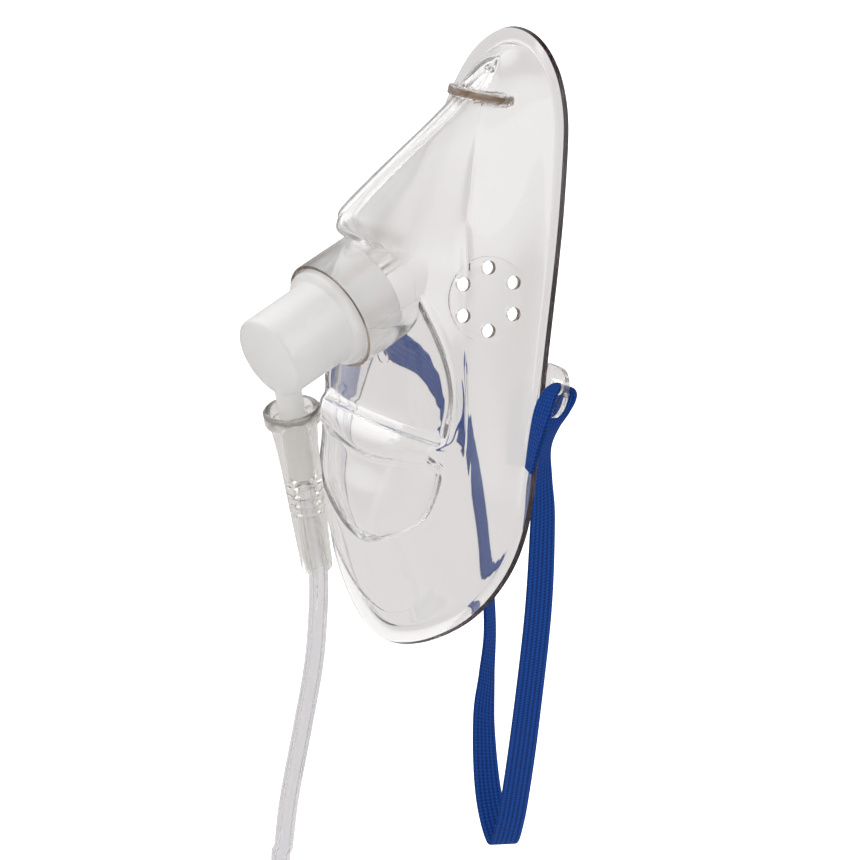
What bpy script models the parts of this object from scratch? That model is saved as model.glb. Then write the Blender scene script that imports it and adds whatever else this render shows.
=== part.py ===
"""Oxygen face mask: moulded clear shell, frosted inlet adaptor, hose and elastic head strap.

Metres. The origin is the centre of the face opening, +X is the wearer's left, the wearer is
on the +Y side and +Z is up. The shell is built in mask coordinates, which are x, h up the
face opening and d forward out of it, and is then leaned back by LEAN.
"""

from math import cos, hypot, pi, radians, sin, sqrt, tau

import bmesh
import bpy
from mathutils import Matrix, Vector
from mathutils.bvhtree import BVHTree

MM = 0.001

# The whole mask leans back at the nose by this much.
LEAN = radians(10.0)
GAP = 0.3 * MM

# Shell.
SHELL_WALL = 1.2 * MM
FLANGE_WIDTH_MM = 4.2
FLANGE_CURL_MM = 0.8
LIP_INSET_MM = 0.9
# The cage's other lines, as shares of the way between the lines that are named below.
LIP_CURL_SHARE = 0.55
FLOOR_SHARE = 0.6
FILLET_SHARE = 0.10
FILLET_RISE_MM = 0.4
WALL_BULGE = 0.42
WALL_SHARE = 0.52
BROW_SHARE = 0.90
SIDE_SHARES = (0.16, 0.6)
GROOVE_INSET_MM = 2.2
GROOVE_DEPTH_MM = 0.9
GROOVE_LEVEL = 0.72
INNER_SHARE = 0.55
INNER_LEVEL = 0.86

# Half outline of the flange, nose to chin: (x, h, d) in mm.
FLANGE_EDGE = (
    (0.0, 70.3, 1.5), (4.8, 69.6, 1.4), (9.2, 67.2, 1.1), (12.7, 64.0, 0.8), (15.4, 60.5, 0.5),
    (18.8, 52.7, 0.0), (20.6, 45.0, 0.0), (22.8, 35.0, 0.0), (25.0, 22.0, 0.0), (28.2, 0.0, 0.0),
    (31.2, -18.0, 0.0), (32.9, -30.0, 0.0), (33.1, -37.0, 0.0), (32.2, -43.0, 0.0), (29.8, -49.4, 0.0),
    (25.6, -56.8, 0.3), (20.5, -62.5, 0.8), (13.3, -67.8, 1.6), (6.9, -71.1, 2.3), (0.0, -72.3, 2.6),
)
# Front edge of the cheek wall.
CHEEK_CREASE = (
    (0.0, 63.4, 8.0), (2.7, 61.2, 10.3), (5.0, 56.3, 13.6), (7.0, 52.8, 15.2), (8.5, 48.9, 17.0),
    (10.0, 44.6, 18.4), (11.2, 39.2, 19.3), (12.6, 32.9, 19.8), (14.4, 25.5, 20.4), (16.0, 19.6, 19.9),
    (17.8, 10.0, 19.0), (19.4, 0.0, 17.6), (20.9, -10.0, 15.8), (22.2, -20.0, 14.0), (23.2, -30.0, 12.6),
    (23.0, -38.0, 11.8), (21.2, -46.0, 11.0), (17.2, -53.5, 10.0), (10.5, -60.5, 8.4), (5.4, -64.0, 7.0),
    (0.0, -65.2, 6.6),
)
# Edge of the nose ridge, then of the platform, the chin ledge and the chin bowl.
FRONT_EDGE = (
    (0.0, 60.8, 10.2), (1.3, 59.0, 11.4), (2.2, 56.0, 13.6), (2.4, 51.0, 18.2), (2.5, 46.8, 22.2),
    (2.6, 38.8, 30.4), (2.8, 31.5, 37.4), (3.2, 26.0, 42.0), (4.0, 23.6, 42.4), (5.2, 21.8, 38.6),
    (8.2, 17.6, 34.2), (11.4, 12.0, 29.6), (14.2, 7.0, 26.6), (16.6, 2.6, 24.3), (18.7, -2.0, 22.2),
    (20.3, -7.0, 20.6), (21.2, -12.0, 19.7), (20.8, -16.0, 19.7), (19.6, -19.5, 20.1),
    (18.8, -22.5, 20.7), (18.4, -27.5, 20.9), (16.8, -31.0, 19.1), (15.4, -36.0, 18.1),
    (12.8, -42.0, 17.3), (9.1, -46.5, 16.7), (4.6, -50.5, 16.2), (0.0, -52.4, 15.6),
)
# Middle line from the nose bridge to the chin: (h, d) in mm.
MIDDLE_LINE = (
    (60.8, 10.2), (56.0, 14.2), (51.0, 18.7), (46.8, 22.9), (38.8, 31.0), (31.5, 38.0), (26.6, 42.4),
    (24.2, 44.0), (21.8, 44.2), (20.4, 43.2), (19.6, 38.4), (18.6, 36.6), (9.5, 31.2), (2.0, 27.4),
    (-5.0, 24.6), (-12.0, 22.8), (-17.6, 21.8), (-19.6, 20.6), (-20.8, 22.2), (-22.4, 23.4),
    (-27.0, 23.8), (-28.8, 23.4), (-29.8, 21.6), (-36.0, 21.0), (-42.0, 20.0), (-46.5, 18.8),
    (-48.6, 17.2), (-50.6, 16.0), (-52.4, 15.6),
)
PLATFORM_SPAN_MM = (19.0, -18.6)
# Heights of the cage rows.
ROWS_MM = (
    70.3, 69.9, 68.6, 66.2, 62.8, 58.5, 53.5, 47.5, 41.0, 34.5, 29.5, 26.6, 24.6, 22.6, 20.6, 19.4,
    17.4, 13.0, 8.0, 3.0, -2.0, -7.0, -12.0, -16.4, -18.8, -20.4, -22.2, -25.6, -28.6, -30.0,
    -33.0, -38.0, -43.0, -47.0, -51.5, -56.5, -61.5, -65.8, -69.2, -71.6, -72.3,
)
# Rows above and below these follow each line's own ends.
MIDDLE_SPAN_MM = (40.0, -30.0)
CAGE_STEPS = 1
FACE_SHARE = 0.5

# Collar on the platform and the parts pushed into it.
NECK_BASE_MM = (9.3, 31.0)
NECK_TILT = radians(33.5)
NECK_LENGTH = 12.6 * MM
NECK_RADIUS = 12.65 * MM
NECK_WALL = 0.95 * MM
NECK_ROOT = 0.7 * MM
NECK_LIP = 0.35 * MM

PLUG_DEPTH = 11.0 * MM
SHOULDER_PROUD = 1.6 * MM
SHOULDER_TAPER = 0.35 * MM
BODY_RADIUS = 9.55 * MM
BODY_LENGTH = 18.3 * MM
BODY_WALL = 1.1 * MM
SPIGOT_AT = 14.2 * MM
SPIGOT_TILT = radians(26.0)
SPIGOT_RADIUS = 2.85 * MM
SPIGOT_BORE = 1.7 * MM
SPIGOT_REACH = 31.0 * MM

CUFF_TOP = 14.0 * MM
CUFF_LENGTH = 40.6 * MM
CUFF_LIP_RADIUS = 6.3 * MM
CUFF_LIP_HEIGHT = 3.6 * MM
CUFF_LIP_STEP = 0.8 * MM
CUFF_WAIST_RADIUS = 4.35 * MM
CUFF_WAIST_AT = 15.5 * MM
CUFF_END_RADIUS = 3.5 * MM
CUFF_SEAT_AT = 19.0 * MM

TUBE_RADIUS = 2.2 * MM

# Vent: a raised disc on each cheek with a ring of holes.
VENT_CENTRE_MM = (18.6, 12.5, 13.9)
VENT_RADIUS = 9.4 * MM
VENT_RAISE = 0.25 * MM
VENT_HOLES = 6
VENT_RING_RADIUS = 6.9 * MM
VENT_HOLE_RADIUS = 1.55 * MM
VENT_TURN = radians(-9.5)
VENT_EDGE = 0.3 * MM

# Rib across the nose.
RIB_HEIGHT_MM = 54.3
RIB_THICKNESS = 1.5 * MM
RIB_STAND = 2.6 * MM
RIB_PROUD = 1.7 * MM
RIB_WIDTH = 2.3 * MM
RIB_BACK = 6.0 * MM
RIB_ROUND = 0.8
RIB_STEPS = 24

# Strap lug on each side of the flange.
LUG_TOP_MM = 1.0
LUG_BOTTOM_MM = -10.6
LUG_REACH = 5.6 * MM
LUG_THICKNESS = 1.5 * MM
LUG_HOLE_RADIUS = 1.9 * MM
LUG_HOLE_AT_MM = (31.4, -3.4)
LUG_ROOT = 1.6 * MM
LUG_LIFT = 0.2 * MM
LUG_ROUND = 0.55
LUG_STEPS = 12

# Elastic strap as (x, y, z, width, turn of its width from +X in degrees), in mm. A tail hangs
# in front of each lug, goes back through its hole and joins the loop that hangs behind.
STRAP_THICKNESS = 0.9 * MM
STRAP_STEPS = 4
STRAP_TAIL = (
    (32.0, -7.2, -21.5, 6.2, -32.0), (32.0, -6.3, -15.0, 6.4, -24.0), (32.0, -4.9, -8.6, 6.0, -12.0),
    (31.8, -3.0, -4.6, 4.0, 0.0), (31.4, -0.8, -3.35, 3.0, 0.0), (31.6, 1.3, -3.4, 3.4, 6.0),
    (31.4, 2.8, -5.2, 4.6, 36.0),
)
STRAP_LOOP = (
    (29.6, 3.0, -9.6, 5.4, 72.0), (28.0, 2.6, -14.4, 6.2, 104.0), (27.0, 1.9, -19.8, 6.4, 110.0),
    (27.0, 2.2, -27.0, 6.9, 98.0), (27.0, 3.6, -37.0, 7.0, 86.0), (24.4, 7.6, -60.0, 7.0, 77.0),
    (17.4, 14.2, -90.0, 7.0, 72.0), (9.4, 21.4, -112.0, 7.0, 68.0),
    (5.0, 24.8, -124.0, 7.0, 65.0), (0.6, 27.4, -131.0, 7.0, 64.0), (-4.6, 28.4, -126.0, 7.0, 68.0),
    (-9.6, 30.0, -117.6, 7.0, 80.0), (-15.4, 33.2, -106.0, 7.0, 94.0), (-20.0, 37.4, -97.0, 7.0, 108.0),
    (-24.0, 40.6, -84.0, 7.0, 117.0), (-28.6, 39.6, -61.0, 7.0, 118.0), (-32.0, 34.0, -38.0, 7.0, 112.0),
    (-33.6, 22.0, -20.5, 7.0, 106.0), (-33.0, 9.5, -12.5, 6.8, 104.0),
)

# Free hose: its coil, tie and tail hang under the cuff.
TUBE_ROUTE_MM = (
    (0.2, -37.4, -60.0), (0.3, -37.6, -72.0), (0.0, -39.4, -88.0), (-0.3, -41.4, -104.0),
    (-0.2, -42.1, -116.0),
)
TUBE_SPACING = 7.0 * MM
TUBE_BEVEL_STEPS = 3
COIL_FORWARD = 40.0 * MM
COIL_DROP = 164.0 * MM
COIL_CENTRE = Vector((0.0, -COIL_FORWARD, -COIL_DROP))
COIL_RADIUS = 25.0 * MM
COIL_SECTION = 8.7 * MM
JOIN_AT = radians(68.0)
JOIN_BEND = 20.0 * MM
JOIN_STEPS = 90
RIM_STEPS = 24
TIE_AT = radians(112.0)
TIE_THICKNESS = 0.9 * MM
TIE_WIDTH = 5.0 * MM
TIE_SLACK = 0.1 * MM
TAIL_SHOWN = 8.0 * MM
TAIL_STEP = 0.1 * MM


def world(x, h, d):
    """Mask coordinates in metres to a point of the part."""
    return Vector((x, h * sin(LEAN) - d * cos(LEAN), h * cos(LEAN) + d * sin(LEAN)))


def curve_points(points, per_span=12):
    """A smooth curve through the points, as a dense list."""
    rows = [Vector(p) for p in points]
    ends = [rows[0] * 2 - rows[1]] + rows + [rows[-1] * 2 - rows[-2]]
    dense = []
    for a, b, c, d in zip(ends, ends[1:], ends[2:], ends[3:]):
        for step in range(per_span):
            t = step / per_span
            along = (c - a) * t + (a * 2 - b * 5 + c * 4 - d) * t ** 2 + (b * 3 - a - c * 3 + d) * t ** 3
            dense.append(b + along * 0.5)
    return dense + [rows[-1]]


def at_height(dense, h):
    """The point of a falling dense curve at height h, its second coordinate."""
    if h >= dense[0][1]:
        return dense[0].copy()
    for upper, lower in zip(dense, dense[1:]):
        if lower[1] <= h <= upper[1]:
            share = (upper[1] - h) / max(upper[1] - lower[1], 1e-9)
            return upper.lerp(lower, share)
    return dense[-1].copy()


def row_height(h, top, bottom):
    """Height on a line that ends at top and bottom, for the cage row at h on the flange edge."""
    high, low = MIDDLE_SPAN_MM
    if h > high:
        return high + (h - high) * (top - high) / (ROWS_MM[0] - high)
    if h < low:
        return low + (h - low) * (bottom - low) / (ROWS_MM[-1] - low)
    return h


def line_rows(points):
    """One point of a feature line for every cage row."""
    dense = curve_points(points)
    top, bottom = points[0][1], points[-1][1]
    return [at_height(dense, row_height(h, top, bottom)) for h in ROWS_MM]


def inset(points, distance):
    """Points of a half outline moved inwards in its plane."""
    moved = []
    last = len(points) - 1
    for i, point in enumerate(points):
        before, after = points[max(i - 1, 0)], points[min(i + 1, last)]
        along = (after - before).normalized()
        inward = Vector((along[1], -along[0], 0.0))
        if i in (0, last):
            inward = Vector((0.0, -1.0 if i == 0 else 1.0, 0.0))
        there = point + inward * distance
        there[0] = max(there[0], 0.0)
        moved.append(there)
    return moved


def shell_lines():
    """The lines of the half cage from the flange edge in to the middle, in mm."""
    edge = line_rows(FLANGE_EDGE)
    curl = Vector((0.0, 0.0, FLANGE_CURL_MM))
    lip = inset(edge, LIP_INSET_MM)
    floor = inset(edge, FLOOR_SHARE * FLANGE_WIDTH_MM)
    root = inset(edge, FLANGE_WIDTH_MM)
    crease = line_rows(CHEEK_CREASE)
    front = line_rows(FRONT_EDGE)
    middle = line_rows([(0.0, h, d) for h, d in MIDDLE_LINE])
    fillet, wall, brow, side, flank, groove, inner = [], [], [], [], [], [], []
    top, bottom = PLATFORM_SPAN_MM
    for r, c, f, m, h in zip(root, crease, front, middle, ROWS_MM):
        fillet.append(r.lerp(c, FILLET_SHARE) + Vector((0.0, 0.0, FILLET_RISE_MM)))
        wall.append(Vector((*r.lerp(c, WALL_BULGE).xy, r.lerp(c, WALL_SHARE)[2])))
        brow.append(r.lerp(c, BROW_SHARE))
        side.append(c.lerp(f, SIDE_SHARES[0]))
        flank.append(c.lerp(f, SIDE_SHARES[1]))
        sunk = GROOVE_DEPTH_MM if bottom < h < top else 0.0
        pulled = max(f[0] - GROOVE_INSET_MM, f[0] * 0.5)
        share = 1.0 - pulled / f[0] if f[0] > 0.0 else 0.0
        base = f.lerp(m, share * GROOVE_LEVEL)
        groove.append(Vector((pulled, base[1], base[2] - sunk)))
        flat = f.lerp(m, INNER_SHARE)
        inner.append(Vector((flat[0], flat[1], f.lerp(m, INNER_LEVEL)[2])))
    lines = [[p + curl for p in edge], [p + curl * LIP_CURL_SHARE for p in lip], floor, root]
    return lines + [fillet, wall, brow, crease, side, flank, front, groove, inner, middle]


def new_object(name, bm, smooth=60.0):
    """Object from a bmesh, smooth but for edges sharper than the angle."""
    mesh = bpy.data.meshes.new(name)
    bmesh.ops.recalc_face_normals(bm, faces=bm.faces[:])
    limit = radians(smooth)
    for face in bm.faces:
        face.smooth = True
    for edge in bm.edges:
        if len(edge.link_faces) == 2:
            edge.smooth = edge.calc_face_angle(0.0) < limit
    bm.to_mesh(mesh)
    bm.free()
    made = bpy.data.objects.new(name, mesh)
    bpy.context.collection.objects.link(made)
    return made


def apply_modifiers(target):
    """Bake the modifier stack into the mesh."""
    graph = bpy.context.evaluated_depsgraph_get()
    mesh = bpy.data.meshes.new_from_object(target.evaluated_get(graph), depsgraph=graph)
    target.modifiers.clear()
    target.data = mesh


def combine(target, tool, operation):
    """Exact Boolean of a tool into the target; the tool is then removed."""
    tool.display_type = "WIRE"
    tool.hide_render = True
    step = target.modifiers.new(operation.lower(), "BOOLEAN")
    step.operation = operation
    step.solver = "EXACT"
    step.object = tool
    apply_modifiers(target)
    bpy.data.objects.remove(tool)


def revolve(name, profile, axis_from, axis, segments):
    """Turned solid: profile of (distance along the axis, radius), closed by caps at both ends."""
    bm = bmesh.new()
    turn = axis.normalized().to_track_quat("Z", "Y").to_matrix().to_4x4()
    place = Matrix.Translation(axis_from) @ turn
    rings = []
    for along, radius in profile:
        ring = []
        for k in range(segments):
            angle = tau * k / segments
            local = Vector((radius * cos(angle), radius * sin(angle), along))
            ring.append(bm.verts.new(place @ local))
        rings.append(ring)
    for lower, upper in zip(rings, rings[1:]):
        for k in range(segments):
            n = (k + 1) % segments
            bm.faces.new((lower[k], lower[n], upper[n], upper[k]))
    bm.faces.new(rings[0][::-1])
    bm.faces.new(rings[-1])
    return new_object(name, bm, 30.0)


def build_shell():
    """Half cage, mirrored, smoothed and given its wall."""
    lines = shell_lines()
    bm = bmesh.new()
    grid = []
    for line in lines:
        grid.append([bm.verts.new(Vector((p[0], -p[2], p[1])) * MM) for p in line])
    for outer, inner in zip(grid, grid[1:]):
        for k in range(len(ROWS_MM) - 1):
            bm.faces.new((outer[k], outer[k + 1], inner[k + 1], inner[k]))
    bmesh.ops.remove_doubles(bm, verts=bm.verts[:], dist=0.00005)
    for vert in bm.verts:
        if abs(vert.co.x) < 0.00003:
            vert.co.x = 0.0
    mirrored = bmesh.ops.duplicate(bm, geom=bm.verts[:] + bm.edges[:] + bm.faces[:])
    copies = [item for item in mirrored["geom"] if isinstance(item, bmesh.types.BMVert)]
    for vert in copies:
        vert.co.x = -vert.co.x
    faces = [item for item in mirrored["geom"] if isinstance(item, bmesh.types.BMFace)]
    bmesh.ops.reverse_faces(bm, faces=faces)
    bmesh.ops.remove_doubles(bm, verts=bm.verts[:], dist=0.00002)
    shell = new_object("mask_shell", bm)
    smooth = shell.modifiers.new("smooth", "SUBSURF")
    smooth.levels = CAGE_STEPS
    smooth.render_levels = CAGE_STEPS
    thin = shell.modifiers.new("thin", "DECIMATE")
    thin.ratio = FACE_SHARE
    thin.use_symmetry = True
    thin.symmetry_axis = "X"
    wall = shell.modifiers.new("wall", "SOLIDIFY")
    wall.thickness = SHELL_WALL
    wall.offset = -1.0
    wall.use_even_offset = False
    apply_modifiers(shell)
    return shell


def neck_frame():
    """Centre of the collar's base and its direction, in shell coordinates."""
    h, d = NECK_BASE_MM
    base = Vector((0.0, -d, h)) * MM
    return base, Vector((0.0, -cos(NECK_TILT), -sin(NECK_TILT)))


def add_neck(shell):
    """Open the platform and stand the collar on it, its root following the moulded surface."""
    base, axis = neck_frame()
    inner = NECK_RADIUS - NECK_WALL
    bm = bmesh.new()
    bm.from_mesh(shell.data)
    surface = BVHTree.FromBMesh(bm)
    bm.free()
    cut = revolve("cut", [(-14 * MM, inner), (NECK_LENGTH + 4 * MM, inner)], base, axis, 56)
    combine(shell, cut, "DIFFERENCE")
    side = Vector((1.0, 0.0, 0.0))
    upward = side.cross(axis)
    rim = NECK_LENGTH
    bm = bmesh.new()
    rings = []
    segments = 56
    profile = [(None, inner + 0.02 * MM), (rim - NECK_LIP, inner), (rim, inner + NECK_LIP)]
    profile += [(rim, NECK_RADIUS - NECK_LIP), (rim - NECK_LIP, NECK_RADIUS), (None, NECK_RADIUS)]
    for along, radius in profile:
        ring = []
        for k in range(segments):
            angle = tau * k / segments
            spoke = side * cos(angle) + upward * sin(angle)
            start = base + spoke * NECK_RADIUS + axis * (rim * 0.9)
            hit, _, _, distance = surface.ray_cast(start, -axis, 40 * MM)
            root = rim * 0.9 - distance - NECK_ROOT if hit else -6 * MM
            reach = min(root, rim - 1.0 * MM) if along is None else along
            ring.append(bm.verts.new(base + spoke * radius + axis * reach))
        rings.append(ring)
    for lower, upper in zip(rings, rings[1:] + rings[:1]):
        for k in range(segments):
            n = (k + 1) % segments
            bm.faces.new((lower[k], lower[n], upper[n], upper[k]))
    combine(shell, new_object("neck", bm), "UNION")


def add_vents(shell):
    """Raised disc and its ring of holes on each cheek."""
    bm = bmesh.new()
    bm.from_mesh(shell.data)
    surface = BVHTree.FromBMesh(bm)
    bm.free()
    x, h, d = VENT_CENTRE_MM
    for hand in (1.0, -1.0):
        guess = Vector((hand * x, -d, h)) * MM
        centre, normal, _, _ = surface.find_nearest(guess)
        if normal.x * hand < 0:
            normal = -normal
        up = (Vector((0.0, 0.0, 1.0)) - normal * normal.z).normalized()
        across = up.cross(normal) * hand
        disc = [(-SHELL_WALL * 0.5, VENT_RADIUS), (VENT_RAISE, VENT_RADIUS)]
        disc += [(VENT_RAISE + 0.1 * MM, VENT_RADIUS - VENT_EDGE)]
        combine(shell, revolve("disc", disc, centre, normal, 40), "UNION")
        for k in range(VENT_HOLES):
            angle = tau * k / VENT_HOLES + VENT_TURN
            spot = centre + (up * cos(angle) + across * sin(angle)) * VENT_RING_RADIUS
            hole = [(-4 * MM, VENT_HOLE_RADIUS), (4 * MM, VENT_HOLE_RADIUS)]
            combine(shell, revolve("hole", hole, spot, normal, 16), "DIFFERENCE")


def slab(name, outline, normal, thickness, middle):
    """Flat plate from a closed outline of points, thickened both ways along its normal."""
    bm = bmesh.new()
    half = normal * thickness * 0.5
    low = [bm.verts.new(middle + p - half) for p in outline]
    high = [bm.verts.new(middle + p + half) for p in outline]
    bm.faces.new(low[::-1])
    bm.faces.new(high)
    for k in range(len(outline)):
        n = (k + 1) % len(outline)
        bm.faces.new((low[k], low[n], high[n], high[k]))
    return new_object(name, bm)


def add_lugs(shell):
    """Rounded tab with a strap hole on each side of the flange."""
    middle_h = (LUG_TOP_MM + LUG_BOTTOM_MM) / 2 * MM
    half = (LUG_TOP_MM - LUG_BOTTOM_MM) / 2 * MM
    edge = at_height(curve_points(FLANGE_EDGE), middle_h / MM)[0] * MM
    for hand in (1.0, -1.0):
        outline = [Vector((-LUG_ROOT, 0.0, half)), Vector((-LUG_ROOT, 0.0, -half))]
        for k in range(LUG_STEPS + 1):
            angle = -pi / 2 + pi * k / LUG_STEPS
            reach = LUG_REACH * max(cos(angle), 0.0) ** LUG_ROUND
            outline.append(Vector((reach, 0.0, half * sin(angle))))
        outline = [Vector((p.x * hand, p.y, p.z)) for p in outline]
        middle = Vector((edge * hand, LUG_LIFT, middle_h))
        combine(shell, slab("lug", outline, Vector((0.0, 1.0, 0.0)), LUG_THICKNESS, middle), "UNION")
        x, h = LUG_HOLE_AT_MM
        start = Vector((hand * x, -8.0, h)) * MM
        hole = [(0.0, LUG_HOLE_RADIUS), (16 * MM, LUG_HOLE_RADIUS)]
        combine(shell, revolve("hole", hole, start, Vector((0.0, 1.0, 0.0)), 20), "DIFFERENCE")


def saddle(side, top, back):
    """Half round of the rib's outline: half as wide as side, from back up to top."""
    points = []
    for k in range(RIB_STEPS + 1):
        angle = pi * k / RIB_STEPS
        bulge = sin(angle) ** RIB_ROUND
        points.append(Vector((side * cos(angle), -(back + (top - back) * bulge), 0.0)))
    return points


def add_rib(shell):
    """Thin rib saddling the nose ridge."""
    dense = curve_points([(0.0, a, b) for a, b in MIDDLE_LINE])
    crease = at_height(curve_points(CHEEK_CREASE), RIB_HEIGHT_MM)
    ridge = at_height(dense, RIB_HEIGHT_MM)[2] * MM
    side = crease[0] * MM + RIB_PROUD
    back = crease[2] * MM - RIB_BACK
    ring = saddle(side, ridge + RIB_STAND, back)
    ring += saddle(side - RIB_WIDTH, ridge - SHELL_WALL * 0.5, back)[::-1]
    middle = Vector((0.0, 0.0, RIB_HEIGHT_MM * MM))
    combine(shell, slab("rib", ring, Vector((0.0, 0.0, 1.0)), RIB_THICKNESS, middle), "UNION")


def lean(target):
    """Move a piece from shell coordinates to the part's."""
    target.data.transform(Matrix.Rotation(-LEAN, 4, "X"))


def adaptor_frame():
    """Rim centre, body axis, spigot crossing and spigot direction, in shell coordinates."""
    base, axis = neck_frame()
    rim = base + axis * NECK_LENGTH
    down = Vector((0.0, sin(SPIGOT_TILT), -cos(SPIGOT_TILT)))
    return rim, axis, rim + axis * SPIGOT_AT, down


def build_adaptor():
    """Hollow plug, shoulder and capped body, with a spigot pointing down."""
    rim, axis, crossing, down = adaptor_frame()
    plug = NECK_RADIUS - NECK_WALL - GAP
    body = [(-PLUG_DEPTH, plug - 0.25 * MM), (0.0, plug), (SHOULDER_PROUD - SHOULDER_TAPER, plug)]
    body += [(SHOULDER_PROUD, plug - SHOULDER_TAPER), (SHOULDER_PROUD + 0.2 * MM, BODY_RADIUS + 0.5 * MM)]
    body += [(SHOULDER_PROUD + 0.9 * MM, BODY_RADIUS), (BODY_LENGTH - 0.6 * MM, BODY_RADIUS)]
    body += [(BODY_LENGTH - 0.15 * MM, BODY_RADIUS - 0.2 * MM), (BODY_LENGTH, BODY_RADIUS - 0.7 * MM)]
    adaptor = revolve("inlet_adaptor", body, rim, axis, 56)
    spigot = [(0.0, SPIGOT_RADIUS + 0.3 * MM), (BODY_RADIUS + 1.4 * MM, SPIGOT_RADIUS + 0.1 * MM)]
    spigot += [(SPIGOT_REACH - 0.4 * MM, SPIGOT_RADIUS - 0.15 * MM), (SPIGOT_REACH, SPIGOT_RADIUS - 0.5 * MM)]
    combine(adaptor, revolve("spigot", spigot, crossing, down, 28), "UNION")
    hollow = BODY_RADIUS - BODY_WALL
    wide = plug - 1.3 * MM
    room = [(-PLUG_DEPTH - 2 * MM, wide), (SHOULDER_PROUD - 1.2 * MM, wide)]
    room += [(SHOULDER_PROUD + 0.6 * MM, hollow)]
    room += [(BODY_LENGTH - 1.6 * MM, hollow), (BODY_LENGTH - 1.2 * MM, hollow - 0.5 * MM)]
    combine(adaptor, revolve("room", room, rim, axis, 48), "DIFFERENCE")
    bore = [(3.0 * MM, SPIGOT_BORE), (SPIGOT_REACH + 2 * MM, SPIGOT_BORE)]
    combine(adaptor, revolve("bore", bore, crossing, down, 20), "DIFFERENCE")
    lean(adaptor)
    return adaptor


def cuff_profile():
    """Outside then inside of the hose cuff as (distance below its top, radius)."""
    lip = CUFF_LIP_RADIUS
    inside = SPIGOT_RADIUS + GAP
    seat = TUBE_RADIUS + GAP
    outside = [(0.25 * MM, lip - 0.25 * MM), (0.6 * MM, lip), (CUFF_LIP_HEIGHT - 0.3 * MM, lip)]
    outside += [(CUFF_LIP_HEIGHT, lip - CUFF_LIP_STEP), (CUFF_LIP_HEIGHT + 0.8 * MM, lip - 1.1 * MM)]
    outside += [(CUFF_WAIST_AT * 0.6, CUFF_WAIST_RADIUS + 0.35 * MM), (CUFF_WAIST_AT, CUFF_WAIST_RADIUS)]
    outside += [(CUFF_LENGTH - 0.5 * MM, CUFF_END_RADIUS), (CUFF_LENGTH, CUFF_END_RADIUS - 0.35 * MM)]
    hollow = [(CUFF_LENGTH, seat + 0.25 * MM), (CUFF_LENGTH - 0.5 * MM, seat), (CUFF_SEAT_AT, seat)]
    hollow += [(CUFF_SEAT_AT - 0.4 * MM, 1.9 * MM), (CUFF_SEAT_AT - 1.4 * MM, 1.9 * MM)]
    hollow += [(CUFF_SEAT_AT - 1.8 * MM, inside), (6.0 * MM, inside), (2.4 * MM, lip - 2.4 * MM)]
    hollow += [(0.7 * MM, lip - 1.3 * MM), (0.25 * MM, lip - 0.95 * MM)]
    return outside + hollow


def turned_loop(name, profile, start, axis, segments):
    """Turned hollow solid from a closed profile of (distance along the axis, radius)."""
    bm = bmesh.new()
    turn = axis.normalized().to_track_quat("Z", "Y").to_matrix().to_4x4()
    place = Matrix.Translation(start) @ turn
    rings = []
    for along, radius in profile:
        spots = [tau * k / segments for k in range(segments)]
        rings.append([bm.verts.new(place @ Vector((radius * cos(a), radius * sin(a), along))) for a in spots])
    for lower, upper in zip(rings, rings[1:] + rings[:1]):
        for k in range(segments):
            n = (k + 1) % segments
            bm.faces.new((lower[k], upper[k], upper[n], lower[n]))
    return new_object(name, bm, 35.0)


def build_cuff():
    """Flared soft cuff on the spigot, open through its whole length."""
    _, _, crossing, down = adaptor_frame()
    cuff = turned_loop("hose_cuff", cuff_profile(), crossing + down * CUFF_TOP, down, 40)
    lean(cuff)
    return cuff


def spaced(points, spacing):
    """Points at even steps along a dense line, both ends kept."""
    total = sum((b - a).length for a, b in zip(points, points[1:]))
    steps = max(1, round(total / spacing))
    chosen, passed, k = [points[0]], 0.0, 0
    for step in range(1, steps):
        wanted = total * step / steps
        while passed + (points[k + 1] - points[k]).length < wanted:
            passed += (points[k + 1] - points[k]).length
            k += 1
        share = (wanted - passed) / (points[k + 1] - points[k]).length
        chosen.append(points[k].lerp(points[k + 1], share))
    return chosen + [points[-1]]


def tube(name, path):
    """Round tube as a curve with a bevel and filled caps."""
    curve = bpy.data.curves.new(name, "CURVE")
    curve.dimensions = "3D"
    curve.bevel_depth = TUBE_RADIUS
    curve.bevel_resolution = TUBE_BEVEL_STEPS
    curve.use_fill_caps = True
    line = curve.splines.new("POLY")
    line.points.add(len(path) - 1)
    for spot, point in zip(line.points, path):
        spot.co = (*point, 1.0)
    made = bpy.data.objects.new(name, curve)
    bpy.context.collection.objects.link(made)


def coil_reach(distance):
    """How far from the coil's axis a strand is that lies this far from the middle of its section.

    The strand is one radius to the side of that middle.
    """
    return COIL_RADIUS + sqrt(distance ** 2 - TUBE_RADIUS ** 2)


def clears_ring(point, along):
    """Whether a tube's flat end at a point stays clear of the coil's ring."""
    side = along.orthogonal().normalized()
    up = along.cross(side)
    gaps = []
    for k in range(RIM_STEPS):
        angle = tau * k / RIM_STEPS
        spot = point + (side * cos(angle) + up * sin(angle)) * TUBE_RADIUS - COIL_CENTRE
        gaps.append(hypot(hypot(spot.x, spot.z) - COIL_RADIUS, spot.y) - COIL_SECTION)
    return min(gaps) > GAP


def tail_top():
    """Where the tail comes clear of the coil."""
    top = COIL_CENTRE + Vector((coil_reach(COIL_SECTION - TUBE_RADIUS), TUBE_RADIUS, 0.0))
    while not clears_ring(top, Vector((0.0, 0.0, -1.0))):
        top.z -= TAIL_STEP
    return top


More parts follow.
